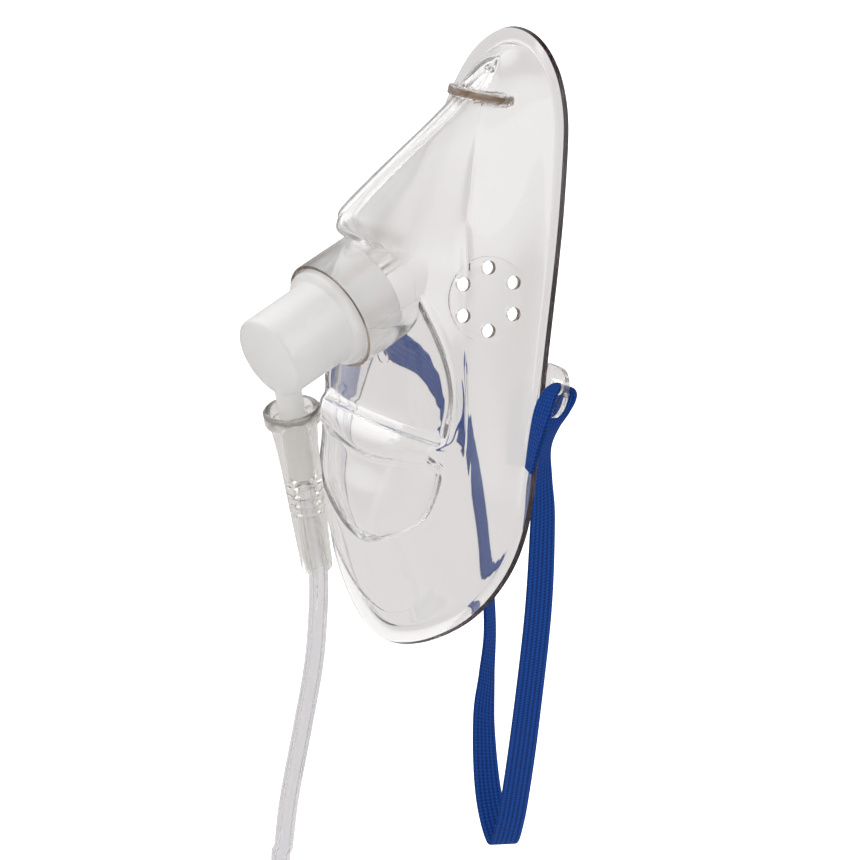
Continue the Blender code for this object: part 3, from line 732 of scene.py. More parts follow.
@dataclass
class Studio:
    """Pale floor, a white backdrop, the darker room around it and soft lamps."""

    floor_height: float = -0.245
    floor_side: float = 12.0
    floor_lift: float = 0.7
    floor_colour: str = "#f2f2f2"
    floor_roughness: float = 0.9
    lamps: tuple[Lamp, ...] = (
        Lamp("key_lamp", (-0.9, -1.1, 1.1), 0.9, 3.2), Lamp("side_lamp", (1.3, -0.4, 0.7), 0.7, 1.6),
        Lamp("back_lamp", (0.2, 1.2, 1.0), 0.8, 1.6),
    )
    lamps_aim: tuple[float, float, float] = (0.0, 0.0, -0.05)
    # The light on matt surfaces.
    lit_ground: float = 0.54
    lit_fields: tuple[Field, ...] = (Field((-0.5, -0.9, 1.2), -0.2, 1.0, 1.25), Field((0.9, 0.1, 0.6), 0.2, 1.0, 0.8))
    # What clear plastic mirrors and bends into view: the room, the floor, the backdrop, the pale wall across from it
    # and two windows.
    room_ground: float = 0.3
    room_fields: tuple[Field, ...] = (
        Field((0.0, 0.0, -1.0), 0.1, 0.7, 0.8), Field((-0.69, 0.67, -0.28), -0.1, 0.6, 0.83),
        Field((0.69, -0.67, -0.28), 0.3, 0.8, 0.7),
        Field((-0.8, -0.7, 0.9), 0.6, 0.95, 3.0), Field((0.9, -0.3, 0.6), 0.75, 0.97, 1.8),
    )
    room_tint: str = "#b09080"

    def build(self) -> None:
        """Make the floor, the world and the lamps."""
        self.make_floor()
        self.make_world()
        for lamp in self.lamps:
            self.make_lamp(lamp)

    def graded(self, tree: NodeTree, ground: float, fields: Sequence[Field]) -> NodeSocket:
        """Return the brightness of the surround along a ray.

        Args:
            tree: The world's node tree.
            ground: The brightness outside every field.
            fields: The soft fields, each laid over those before it.

        Returns:
            The brightness as a socket.
        """
        way = add_node(tree, "ShaderNodeTexCoord").outputs["Generated"]
        total: float | NodeSocket = ground
        for spot in fields:
            share = soft_share(tree, way, Vector(spot.direction).normalized(), spot.starts, spot.full)
            mixed = add_node(tree, "ShaderNodeMix", {"data_type": "FLOAT"}, {0: share, 2: total, 3: spot.level})
            total = mixed.outputs[0]
        return total

    def make_floor(self) -> None:
        """Make the floor, which is white to the eye and takes a shadow; bent and mirrored rays pass it by."""
        half = self.floor_side / 2
        bm = bmesh.new()
        corners = ((-half, -half), (half, -half), (half, half), (-half, half))
        bm.faces.new([bm.verts.new((x, y, self.floor_height)) for x, y in corners])
        floor = mesh_object("floor", bm, Shading.SOFT)
        floor.visible_glossy = False
        floor.visible_transmission = False
        made = new_material(
            "matt_white_paper",
            {"Base Color": linear(self.floor_colour), "Roughness": self.floor_roughness, "Emission Color": WHITE},
        )
        tree = made.node_tree
        path = add_node(tree, "ShaderNodeLightPath")
        lit = add_node(
            tree, "ShaderNodeMath", {"operation": "MULTIPLY"}, {0: path.outputs["Is Camera Ray"], 1: self.floor_lift}
        )
        tree.links.new(lit.outputs[0], tree.nodes["Principled BSDF"].inputs["Emission Strength"])
        dress(floor, made)

    def make_world(self) -> None:
        """Make the world: white to the eye, softly graded for matt surfaces, a room for clear and glossy ones."""
        world = bpy.data.worlds.new("studio")
        bpy.context.scene.world = world
        world.use_nodes = True
        tree = world.node_tree
        plain = tree.nodes["Background"]
        plain.inputs["Color"].default_value = WHITE
        tree.links.new(self.graded(tree, self.lit_ground, self.lit_fields), plain.inputs["Strength"])
        bright = self.graded(tree, self.room_ground, self.room_fields)
        tint = add_node(tree, "ShaderNodeMix", {"data_type": "RGBA"}, {0: bright, 6: linear(self.room_tint), 7: WHITE})
        room = add_node(tree, "ShaderNodeBackground", inputs={"Color": tint.outputs[2], "Strength": bright})
        backdrop = add_node(tree, "ShaderNodeBackground", inputs={"Color": WHITE, "Strength": 1.0})
        path = add_node(tree, "ShaderNodeLightPath")
        either = add_node(
            tree, "ShaderNodeMath", {"operation": "MAXIMUM"},
            {0: path.outputs["Is Transmission Ray"], 1: path.outputs["Is Glossy Ray"]},
        )
        # Once a matt surface has scattered a ray, only the plain light counts.
        bent = add_node(
            tree, "ShaderNodeMath", {"operation": "GREATER_THAN"},
            {0: either.outputs[0], 1: path.outputs["Diffuse Depth"]},
        )
        mixed = add_node(
            tree, "ShaderNodeMixShader", inputs={0: bent.outputs[0], 1: plain.outputs[0], 2: room.outputs[0]}
        )
        seen = add_node(
            tree, "ShaderNodeMixShader",
            inputs={0: path.outputs["Is Camera Ray"], 1: mixed.outputs[0], 2: backdrop.outputs[0]},
        )
        tree.links.new(seen.outputs[0], tree.nodes["World Output"].inputs["Surface"])

    def make_lamp(self, lamp: Lamp) -> None:
        """Make a lamp that points at the mask and isn't mirrored in it.

        Args:
            lamp: The lamp's sizes.
        """
        data = bpy.data.lights.new(lamp.name, "AREA")
        data.size = lamp.side
        data.energy = lamp.power
        made = add_object(lamp.name, data)
        made.visible_glossy = False
        made.location = lamp.place
        made.rotation_euler = (Vector(self.lamps_aim) - Vector(lamp.place)).to_track_quat("-Z", "Y").to_euler()


# The mask's own pieces.


@dataclass
class Fittings:
    """Sizes that the collar, the adaptor, the cuffs and the hose share."""

    neck_base_mm: tuple[float, float] = (9.3, 31.0)
    neck_tilt: float = radians(33.5)
    neck_length: float = 12.6 * MM
    neck_radius: float = 12.65 * MM
    neck_wall: float = 0.95 * MM
    spigot_at: float = 14.2 * MM
    spigot_tilt: float = radians(26.0)
    spigot_radius: float = 2.85 * MM
    spigot_bore: float = 1.7 * MM
    spigot_reach: float = 31.0 * MM
    cuff_top: float = 14.0 * MM
    cuff_length: float = 40.6 * MM
    cuff_seat_at: float = 19.0 * MM
    tube_radius: float = 2.2 * MM

    def neck(self) -> tuple[Vector, Vector]:
        """Return the collar's base and direction, in mask coordinates."""
        h, d = self.neck_base_mm
        return Vector((0.0, -d, h)) * MM, Vector((0.0, -cos(self.neck_tilt), -sin(self.neck_tilt)))

    def rim(self) -> Vector:
        """Return the middle of the collar's rim."""
        base, axis = self.neck()
        return base + axis * self.neck_length

    def spigot(self) -> tuple[Vector, Vector]:
        """Find the spigot's line.

        Returns:
            Where the spigot leaves the adaptor's axis, and its direction, in mask coordinates.
        """
        _, axis = self.neck()
        down = Vector((0.0, sin(self.spigot_tilt), -cos(self.spigot_tilt)))
        return self.rim() + axis * self.spigot_at, down

    def below_spigot(self, distance: float) -> Vector:
        """Return a point of the part on the spigot's line, this far from its start."""
        start, down = self.spigot()
        return Matrix.Rotation(-LEAN, 4, "X") @ (start + down * distance)


@dataclass
class Hose:
    """The whole hose: from the cuff down to its coil, round it and out into the supply cuff."""

    fittings: Fittings
    length: float = 1.8
    route_mm: tuple[Point, ...] = (
        (0.2, -37.4, -60.0), (0.3, -37.6, -72.0), (0.0, -39.4, -88.0), (-0.3, -41.4, -104.0), (-0.2, -42.1, -116.0),
    )
    coil_centre_mm: tuple[float, float, float] = (0.0, -40.0, -164.0)
    coil_radius: float = 25.0 * MM
    coil_section: float = 8.7 * MM
    # In degrees round the coil: where the hose joins it, where the tie sits, how long a change of turn takes and how
    # far apart the points of a turn are.
    join_at: float = 68.0
    join_bend: float = 20.0 * MM
    tie_at: float = 112.0
    cross_over: float = 44.0
    turn_step: float = 5.0
    tail_shown: float = 8.0 * MM
    tail_step: float = 0.1 * MM
    rim_steps: int = 24
    # The bore is star-shaped, so that a kink can't close it, and stops just short of the hose's end faces.
    bore: float = 1.35 * MM
    lobes: int = 5
    lobe_depth: float = 0.18
    bore_trim: float = 0.0004
    spacing: float = 2.6 * MM
    segments: int = 20
    # Places of the turns in the coil's section: outwards from its middle and along its axis, in mm.
    slots_mm: tuple[Step, ...] = (
        (6.12, -2.2), (2.3, -4.4), (-1.5, -6.35), (-1.5, -2.1), (-5.9, -2.2), (-5.9, 2.2),
        (-1.5, 2.1), (-1.5, 6.35), (2.3, 4.4), (2.3, 0.0), (6.12, 2.2),
    )

    def centre(self) -> Vector:
        """Return the middle of the coil."""
        return Vector(self.coil_centre_mm) * MM

    def spoke(self, angle: float) -> Vector:
        """Return the direction from the coil's middle at an angle in degrees."""
        return Vector((cos(radians(angle)), 0.0, sin(radians(angle))))

    def free_route(self) -> list[Vector]:
        """Lead the hose from inside the cuff to the side of the coil.

        Returns:
            Dense points of that stretch.
        """
        fit = self.fittings
        start = fit.below_spigot(fit.cuff_top + fit.cuff_seat_at + GAP)
        inside = fit.below_spigot(fit.cuff_top + fit.cuff_length - 4 * MM)
        leaving = fit.below_spigot(fit.cuff_top + fit.cuff_length + 2 * MM)
        route = [start, start.lerp(inside, 0.5), inside, leaving]
        route += [Vector(p) * MM for p in self.route_mm]
        out, aside = self.slots_mm[0]
        join = self.centre() + self.spoke(self.join_at) * (self.coil_radius + out * MM)
        join.y += aside * MM
        hub = join + self.spoke(self.join_at) * self.join_bend
        arc = [hub - self.spoke(self.join_at * k / 6) * self.join_bend for k in range(7)]
        return smooth_curve(route + arc, 12)

    def turns(self) -> list[Vector]:
        """Wind the coil, and cross over to the next turn's place under the tie.

        Returns:
            Dense points from the join to where the tail leaves.
        """
        centre = self.centre()
        full = 360 * (len(self.slots_mm) - 1)
        sweep = full + self.join_at
        steps = int(sweep / self.turn_step)
        points = []
        for k in range(1, steps + 1):
            travelled = sweep * k / steps
            angle = self.join_at - travelled
            past = travelled - (self.join_at + 360 - self.tie_at - self.cross_over / 2)
            turn = max(0, min(int((past + 360) // 360), len(self.slots_mm) - 1))
            share = 1.0
            if turn > 0:
                share = min(max((past - 360 * (turn - 1)) / self.cross_over, 0.0), 1.0)
            share = share * share * (3 - 2 * share)
            here = Vector(self.slots_mm[turn])
            before = Vector(self.slots_mm[max(turn - 1, 0)])
            out, aside = before.lerp(here, share)
            point = centre + self.spoke(angle) * (self.coil_radius + out * MM)
            point.y += aside * MM
            points.append(point)
        return points

    def tail(self) -> list[Vector]:
        """Lead the end of the hose straight down into the supply cuff.

        Returns:
            Points of that stretch.
        """
        fit = self.fittings
        first = self.turns()[-1]
        top = self.tail_top()
        seat = top - self.tail_shown - (fit.cuff_length - fit.cuff_seat_at - GAP)
        return [Vector((first.x, first.y, z)) for z in (first.z - 4 * MM, top, (top + seat) / 2, seat)]

    def clears_ring(self, point: Vector) -> bool:
        """Tell whether a flat tube end that faces up stays clear of the coil.

        Args:
            point: The middle of the tube's end.

        Returns:
            True where its whole rim is clear.
        """
        gaps = []
        for k in range(self.rim_steps):
            angle = tau * k / self.rim_steps
            rim = Vector((sin(angle), cos(angle), 0.0)) * self.fittings.tube_radius
            spot = point + rim - self.centre()
            gaps.append(hypot(hypot(spot.x, spot.z) - self.coil_radius, spot.y) - self.coil_section)
        return min(gaps) > GAP

    def tail_top(self) -> float:
        """Find the height at which the tail comes clear of the coil.

        Returns:
            The height in the part's frame.
        """
        out, aside = self.slots_mm[-1]
        top = self.centre() + Vector((self.coil_radius + out * MM, aside * MM, 0.0))
        while not self.clears_ring(top):
            top.z -= self.tail_step
        return top.z

    def path(self) -> list[Vector]:
        """Join the three stretches and space their points evenly.

        Returns:
            The points of the whole hose's middle line.
        """
        dense = self.free_route() + self.turns() + self.tail()
        total = sum((b - a).length for a, b in zip(dense, dense[1:]))
        steps = int(total / self.spacing)
        points, place, k = [dense[0]], 0.0, 0
        for step in range(1, steps):
            wanted = total * step / steps
            while place + (dense[k + 1] - dense[k]).length < wanted:
                place += (dense[k + 1] - dense[k]).length
                k += 1
            points.append(dense[k].lerp(dense[k + 1], (wanted - place) / (dense[k + 1] - dense[k]).length))
        LOG.info("hose: %.3f m along its middle", total)
        return points + [dense[-1]]

    def build(self, finish: Material) -> tuple[Object, list[Vector]]:
        """Make the hose with its bore.

        Args:
            finish: The hose's material.

        Returns:
            The hose and its path.
        """
        path = self.path()
        made = swept_hose(self, path, finish)
        # The tree leaves an empty slot before the finish, which becomes the only one here.
        dress(made, finish)
        shade(made, Shading.SOFT)
        stand_for(made, "oxygen_tube", "oxygen_tube", "tube_coil", "tube_tail")
        return made, path


def swept_hose(hose: Hose, path: Sequence[Vector], finish: Material) -> Object:
    """Sweep the hose's wall and its lobed bore along a path with Geometry Nodes.

    Args:
        hose: The hose's sizes.
        path: The points of its middle line.
        finish: The hose's material.

    Returns:
        One closed mesh.
    """
    curve = bpy.data.curves.new("hose_path", "CURVE")
    curve.dimensions = "3D"
    line = curve.splines.new("POLY")
    line.points.add(len(path) - 1)
    for spot, point in zip(line.points, path):
        spot.co = (*point, 1.0)
    source = add_object("hose_path", curve)
    wanted = (
        ("Path", "NodeSocketObject", source), ("Outer Radius", "NodeSocketFloat", hose.fittings.tube_radius),
        ("Bore Radius", "NodeSocketFloat", hose.bore), ("Lobe Depth", "NodeSocketFloat", hose.lobe_depth),
        ("Lobes", "NodeSocketInt", hose.lobes), ("Segments", "NodeSocketInt", hose.segments),
        ("Finish", "NodeSocketMaterial", finish),
    )
    tree, given, values = start_form("hose_sweep", wanted)
    along = add_node(tree, "GeometryNodeObjectInfo", inputs={"Object": given.outputs["Path"]})
    outer = add_node(
        tree, "GeometryNodeCurvePrimitiveCircle",
        inputs={"Resolution": given.outputs["Segments"], "Radius": given.outputs["Outer Radius"]},
    )
    wall = add_node(
        tree, "GeometryNodeCurveToMesh",
        inputs={"Curve": along.outputs["Geometry"], "Profile Curve": outer.outputs["Curve"], "Fill Caps": True},
    )
    round_bore = add_node(
        tree, "GeometryNodeCurvePrimitiveCircle",
        inputs={"Resolution": given.outputs["Segments"], "Radius": given.outputs["Bore Radius"]},
    )
    where = add_node(tree, "GeometryNodeInputPosition")
    apart = add_node(tree, "ShaderNodeSeparateXYZ", inputs={0: where.outputs[0]})
    angle = add_node(tree, "ShaderNodeMath", {"operation": "ARCTAN2"}, {0: apart.outputs["Y"], 1: apart.outputs["X"]})
    turns = add_node(
        tree, "ShaderNodeMath", {"operation": "MULTIPLY"}, {0: angle.outputs[0], 1: given.outputs["Lobes"]}
    )
    swing = add_node(tree, "ShaderNodeMath", {"operation": "COSINE"}, {0: turns.outputs[0]})
    grow = add_node(
        tree, "ShaderNodeMath", {"operation": "MULTIPLY_ADD"},
        {0: swing.outputs[0], 1: given.outputs["Lobe Depth"], 2: 1.0},
    )
    moved = add_node(
        tree, "ShaderNodeVectorMath", {"operation": "SCALE"}, {0: where.outputs[0], "Scale": grow.outputs[0]}
    )
    star = add_node(
        tree, "GeometryNodeSetPosition",
        inputs={"Geometry": round_bore.outputs["Curve"], "Position": moved.outputs[0]},
    )
    trimmed = add_node(
        tree, "GeometryNodeTrimCurve", {"mode": "FACTOR"},
        {"Curve": along.outputs["Geometry"], "Start": hose.bore_trim, "End": 1.0 - hose.bore_trim},
    )
    hollow = add_node(
        tree, "GeometryNodeCurveToMesh",
        inputs={"Curve": trimmed.outputs["Curve"], "Profile Curve": star.outputs["Geometry"], "Fill Caps": True},
    )
    flipped = add_node(tree, "GeometryNodeFlipFaces", inputs={"Mesh": hollow.outputs["Mesh"]})
    both = add_node(tree, "GeometryNodeJoinGeometry")
    tree.links.new(wall.outputs["Mesh"], both.inputs[0])
    tree.links.new(flipped.outputs["Mesh"], both.inputs[0])
    made = end_form("oxygen_hose", tree, both.outputs[0], values)
    bpy.data.objects.remove(source)
    return made


@dataclass
class Shell:
    """The moulded mask: flange, cheeks, nose ridge, platform with its collar, chin ledge and bowl."""

    fittings: Fittings
    wall: float = 1.2 * MM
    flange_width: float = 4.2
    flange_curl: float = 0.8
    lip_inset: float = 0.9
    # The cage's other lines, as shares of the way between the lines that are named below.
    lip_curl_share: float = 0.55
    floor_share: float = 0.6
    fillet_share: float = 0.15
    fillet_rise: float = 0.5
    wall_bulge: float = 0.42
    wall_share: float = 0.52
    brow_share: float = 0.90
    side_shares: tuple[float, float] = (0.16, 0.6)
    groove_inset: float = 2.2
    groove_depth: float = 0.9
    groove_level: float = 0.72
    groove_limit: float = 0.5
    inner_share: float = 0.55
    inner_level: float = 0.86
    # Lines close to an edge that keep it crisp, and the bead that rims the platform.
    edge_hold: float = 1.1
    edge_share: float = 0.08
    hold_limit: float = 0.3
    ridge_hold: float = 3.2
    crease_rise: float = 0.9
    # Rows between which the crease's line fades out at the nose bridge.
    crease_fade: tuple[float, float] = (64.0, 50.0)
    bead_hold: float = 1.7
    bead_rise: float = 0.4
    bead_foot: float = 0.25
    # Where the bead's inner line lies on the way to the groove, and its share of the bead's height.
    bead_inner: tuple[float, float] = (0.35, 0.6)
    cage_steps: int = 2
    # Points of the cage this close together become one, and those this close to the middle go onto it.
    merge_reach: float = 0.05 * MM
    middle_reach: float = 0.03 * MM
    mirror_reach: float = 0.02 * MM
    # Half outline of the flange from nose to chin: (x, h, d) in mm.
    flange_edge: tuple[Point, ...] = (
        (0.0, 70.3, 1.5), (4.8, 69.6, 1.4), (9.2, 67.2, 1.1), (12.7, 64.0, 0.8), (15.4, 60.5, 0.5),
        (18.8, 52.7, 0.0), (20.6, 45.0, 0.0), (22.8, 35.0, 0.0), (25.0, 22.0, 0.0), (28.2, 0.0, 0.0),
        (31.2, -18.0, 0.0), (32.9, -30.0, 0.0), (33.1, -37.0, 0.0), (32.2, -43.0, 0.0), (29.8, -49.4, 0.0),
        (25.6, -56.8, 0.3), (20.5, -62.5, 0.8), (13.3, -67.8, 1.6), (6.9, -71.1, 2.3), (0.0, -72.3, 2.6),
    )
    # Front edge of the cheek wall.
    cheek_crease: tuple[Point, ...] = (
        (0.0, 63.4, 8.0), (2.7, 61.2, 10.3), (4.3, 56.1, 12.9), (5.6, 52.5, 13.8), (6.8, 48.5, 15.2),
        (7.9, 44.1, 16.3), (9.1, 38.7, 17.2), (10.9, 32.5, 18.0), (13.4, 25.3, 19.3), (15.7, 19.5, 19.5),
        (17.8, 10.0, 19.0), (19.4, 0.0, 17.6), (20.9, -10.0, 15.8), (22.2, -20.0, 14.0), (23.2, -30.0, 12.6),
        (23.0, -38.0, 11.8), (21.2, -46.0, 11.0), (17.2, -53.5, 10.0), (10.5, -60.5, 8.4), (5.4, -64.0, 7.0),
        (0.0, -65.2, 6.6),
    )
    # Edge of the nose ridge, then of the platform, the chin ledge and the chin bowl.
    front_edge: tuple[Point, ...] = (
        (0.0, 60.8, 10.2), (1.3, 59.0, 11.4), (2.2, 56.0, 13.6), (2.4, 51.0, 18.2), (2.5, 46.8, 22.2),
        (2.6, 38.8, 30.4), (2.8, 31.5, 37.4), (3.2, 26.0, 42.0), (4.0, 23.6, 42.4), (5.2, 21.8, 38.6),
        (8.2, 17.6, 34.2), (11.4, 12.0, 29.6), (14.2, 7.0, 26.6), (16.6, 2.6, 24.3),
        (18.7, -2.0, 22.2), (20.3, -7.0, 20.6), (21.2, -12.0, 19.7), (20.8, -16.0, 19.7),
        (20.2, -18.8, 19.0), (19.4, -20.4, 20.6), (18.9, -21.8, 21.5), (18.9, -23.6, 21.5), (19.6, -25.2, 19.8),
        (20.2, -26.8, 18.0), (20.2, -29.4, 17.2), (19.4, -34.6, 17.2), (17.8, -38.6, 17.2),
        (14.2, -42.2, 17.0), (9.8, -45.2, 16.9), (5.0, -47.2, 17.3), (0.0, -47.9, 17.6),
    )
    # Middle line from the nose bridge to the chin: (h, d) in mm.
    middle_line: tuple[Step, ...] = (
        (60.8, 10.2), (56.0, 14.2), (51.0, 18.7), (46.8, 22.9), (38.8, 31.0), (31.5, 38.0), (26.6, 42.4),
        (24.2, 44.0), (21.8, 44.2), (20.4, 43.2), (19.6, 38.4), (18.6, 36.6), (9.5, 31.2), (2.0, 27.4),
        (-5.0, 24.6), (-12.0, 22.8), (-17.4, 21.6), (-19.2, 20.4), (-20.4, 22.4), (-22.0, 23.8),
        (-25.6, 24.2), (-28.0, 23.9), (-29.4, 22.0), (-32.0, 21.7), (-38.0, 21.8), (-43.6, 20.6),
        (-46.2, 19.1), (-47.2, 18.3), (-47.9, 17.6),
    )
    platform_span: tuple[float, float] = (19.0, -18.6)
    bowl_from: float = -30.5
    bowl_bead: float = 0.8
    # Rows that carry a thin line across the ledge, how far it stands out and how far its ends are raised.
    ledge_lines: tuple[float, ...] = (-20.4, -29.0)
    ledge_rise: float = 0.45
    ledge_lift: float = 3.4
    ledge_reach: float = 6.4
    rows: tuple[float, ...] = (
        70.3, 69.9, 68.6, 66.2, 62.8, 58.5, 53.5, 47.5, 41.0, 34.5, 29.5, 26.6, 24.6, 22.6, 20.6, 19.4,
        17.4, 13.0, 8.0, 3.0, -2.0, -7.0, -12.0, -16.0, -18.0, -19.1, -19.8, -20.4, -21.0, -22.6, -25.6,
        -28.3, -29.0, -29.7, -31.0, -34.0, -38.0, -43.0, -47.0, -51.5, -56.5, -61.5, -65.8, -69.2, -71.6, -72.3,
    )
    middle_span: tuple[float, float] = (40.0, -30.0)
    neck_root: float = 0.7 * MM
    neck_lip: float = 0.35 * MM
    neck_segments: int = 112
    # The root is measured down from this share of the collar's height, as far as this.
    neck_probe_at: float = 0.9
    neck_probe: float = 40.0 * MM
    # The hole under the collar is cut from here to here along its axis, past its base and past its rim.
    neck_cut: tuple[float, float] = (-14.0 * MM, 4.0 * MM)
    # Which bands of the collar's profile make its end face, which is painted tan as a line of shade.
    rim_faces: tuple[int, ...] = (2, 3, 4)
    # A small raised ring on the platform under the collar: (x, h, d) in mm.
    mark_at: tuple[float, float, float] = (1.3, -5.6, 25.0)
    mark_radius: float = 1.9 * MM
    mark_line: float = 0.3 * MM
    vent_centre_mm: tuple[float, float, float] = (18.6, 12.5, 13.9)
    vent_radius: float = 9.4 * MM
    vent_raise: float = 0.25 * MM
    vent_holes: int = 6
    vent_ring: float = 6.9 * MM
    vent_hole_radius: float = 1.55 * MM
    # The drills go through the wall with room to spare.
    vent_hole_depth: float = 8.0 * MM
    vent_hole_segments: int = 32
    vent_segments: int = 96
    vent_turn: float = radians(-9.5)
    rib_height: float = 54.3
    rib_thickness: float = 2.3 * MM
    rib_edge: float = 0.4 * MM
    rib_stand: float = 2.6 * MM
    # How far its feet stand out beside the crease and reach back behind it, its own width and how full its arch is.
    rib_feet: float = 2.6 * MM
    rib_back: float = 6.0 * MM
    rib_width: float = 3.3 * MM
    rib_arch: float = 0.8
    # Faces whose normal rises less than this are its cut edges, which are painted tan as a line of shade.
    rib_upright: float = 0.2
    rib_steps: int = 48
    lug_span: tuple[float, float] = (1.0, -10.6)
    lug_reach: float = 5.6 * MM
    lug_root: float = 1.6 * MM
    lug_back: float = 0.2 * MM
    # Under one, this squares the lug's rounded end off.
    lug_square: float = 0.55
    lug_steps: int = 28
    lug_thickness: float = 1.5 * MM
    lug_hole_radius: float = 1.9 * MM
    lug_hole_at: tuple[float, float] = (31.4, -3.4)

    def row_height(self, h: float, top: float, bottom: float) -> float:
        """Place a cage row on a line that ends elsewhere than the flange.

        Args:
            h: The row's height on the flange edge.
            top: The line's own top.
            bottom: The line's own bottom.

        Returns:
            The height on that line.
        """
        high, low = self.middle_span
        if h > high:
            return high + (h - high) * (top - high) / (self.rows[0] - high)
        if h < low:
            return low + (h - low) * (bottom - low) / (self.rows[-1] - low)
        return h

    def line_rows(self, points: Sequence[Point], lift: float = 0.0) -> list[Vector]:
        """Return one point of a feature line for every cage row.

        Args:
            points: The line's own points.
            lift: How far the rows near the ledge's lower line are raised, in mm.

        Returns:
            The points, from the top down.
        """
        dense = smooth_curve(points)
        top, bottom = points[0][1], points[-1][1]
        found = []
        for h in self.rows:
            near = max(1.0 - abs(h - self.ledge_lines[-1]) / self.ledge_reach, 0.0)
            found.append(at_height(dense, self.row_height(h, top, bottom) + lift * near))
        return found

    def inset(self, points: Sequence[Vector], distance: float) -> list[Vector]:
        """Move a half outline inwards in its plane.

        Args:
            points: The outline from nose to chin.
            distance: How far it moves, in mm.

        Returns:
            The moved points.
        """
        moved = []
        last = len(points) - 1
        for i, point in enumerate(points):
            before, after = points[max(i - 1, 0)], points[min(i + 1, last)]
            along = (after - before).normalized()
            inward = Vector((along[1], -along[0], 0.0))
            if i in (0, last):
                inward = Vector((0.0, -1.0 if i == 0 else 1.0, 0.0))
            there = point + inward * distance
            there[0] = max(there[0], 0.0)
            moved.append(there)
        return moved

    def set_in(self, *lines: Sequence[Vector]) -> list[list[Vector]]:
        """Move feature lines in by the wall's thickness, because the wall grows outwards from the cage.

        Args:
            lines: The flange's root and the lines from there to the middle, which is the last.

        Returns:
            The moved lines, without the root.
        """
        moved = []
        for place, line in enumerate(lines[1:], start=1):
            outer = lines[place - 1]
            inner = lines[place + 1] if place + 1 < len(lines) else [Vector((-p[0], p[1], p[2])) for p in outer]
            there = []
            for k, point in enumerate(line):
                down = line[min(k + 1, len(line) - 1)] - line[max(k - 1, 0)]
                normal = down.cross(outer[k] - inner[k]).normalized()
                outward = normal if normal[2] > 0 else -normal
                held = point - outward * self.wall / MM
                there.append(Vector((max(held[0], 0.0), held[1], held[2])))
            moved.append(there)
        return moved

    def cage_lines(self) -> list[list[Vector]]:
        """Lay out the half cage's lines from the flange edge in to the middle.

        Returns:
            The lines, each with one point a row, in mm.
        """
        edge = self.line_rows(self.flange_edge)
        curl = Vector((0.0, 0.0, self.flange_curl))
        lip = self.inset(edge, self.lip_inset)
        floor = self.inset(edge, self.floor_share * self.flange_width)
        root = self.inset(edge, self.flange_width)
        crease = self.line_rows(self.cheek_crease)
        front = self.line_rows(self.front_edge, self.ledge_lift)
        middle = self.line_rows([(0.0, h, d) for h, d in self.middle_line])
        crease, front, middle = self.set_in(root, crease, front, middle)
        rows = [self.cage_row(*row) for row in zip(root, crease, front, middle, self.rows)]
        lines = [[p + curl for p in edge], [p + curl * self.lip_curl_share for p in lip], floor, root]
        return lines + [list(line) for line in zip(*rows)]

    def cage_row(self, root: Vector, crease: Vector, front: Vector, middle: Vector, h: float) -> list[Vector]:
        """Return one row of the cage from the flange's root to the middle.

        Args:
            root: The row's point on the flange's root.
            crease: Its point on the cheek crease.
            front: Its point on the front edge.
            middle: Its point on the middle line.
            h: Its height on the flange edge.

        Returns:
            The row's points, in mm.
        """
        forward = Vector((0.0, 0.0, 1.0))
        top, bottom = self.platform_span
        beaded = 1.0 if bottom < h < top else self.bowl_bead if h < self.bowl_from else 0.0
        wall = Vector((*root.lerp(crease, self.wall_bulge).xy, root.lerp(crease, self.wall_share)[2]))
        flank = crease - front
        outward = (root - crease).normalized() * min(self.edge_hold, (root - crease).length * self.edge_share)
        inward = flank.normalized() * min(self.edge_hold, flank.length * self.edge_share)
        faded, whole = self.crease_fade
        ridged = min(max((h - bottom) / (top - bottom), 0.0), max((faded - h) / (faded - whole), 0.0), 1.0)
        peak = crease + (inward - outward).normalized() * self.crease_rise * ridged
        wanted = self.bead_hold if beaded else self.ridge_hold if h >= top else self.edge_hold
        hold = min(wanted / max(flank.length, 1e-6), self.hold_limit)
        pulled = max(front[0] - self.groove_inset, front[0] * self.groove_limit)
        run = 1.0 - pulled / front[0] if front[0] > 0.0 else 0.0
        base = front.lerp(middle, run * self.groove_level)
        groove = Vector((pulled, base[1], base[2] - beaded * self.groove_depth))
        flat = front.lerp(middle, self.inner_share)
        bead = forward * self.bead_rise * beaded
        line = forward * self.ledge_rise if h in self.ledge_lines else Vector()
        return [
            root.lerp(crease, self.fillet_share) + forward * self.fillet_rise,
            wall,
            root.lerp(crease, self.brow_share),
            crease + outward,
            peak,
            crease - inward,
            crease.lerp(front, self.side_shares[0]),
            crease.lerp(front, self.side_shares[1]),
            front.lerp(crease, hold) - forward * self.bead_foot * beaded,
            front + bead,
            front.lerp(groove, self.bead_inner[0]) + bead * self.bead_inner[1] + line,
            groove + line,
            Vector((flat[0], flat[1], front.lerp(middle, self.inner_level)[2])) + line,
            middle + line,
        ]

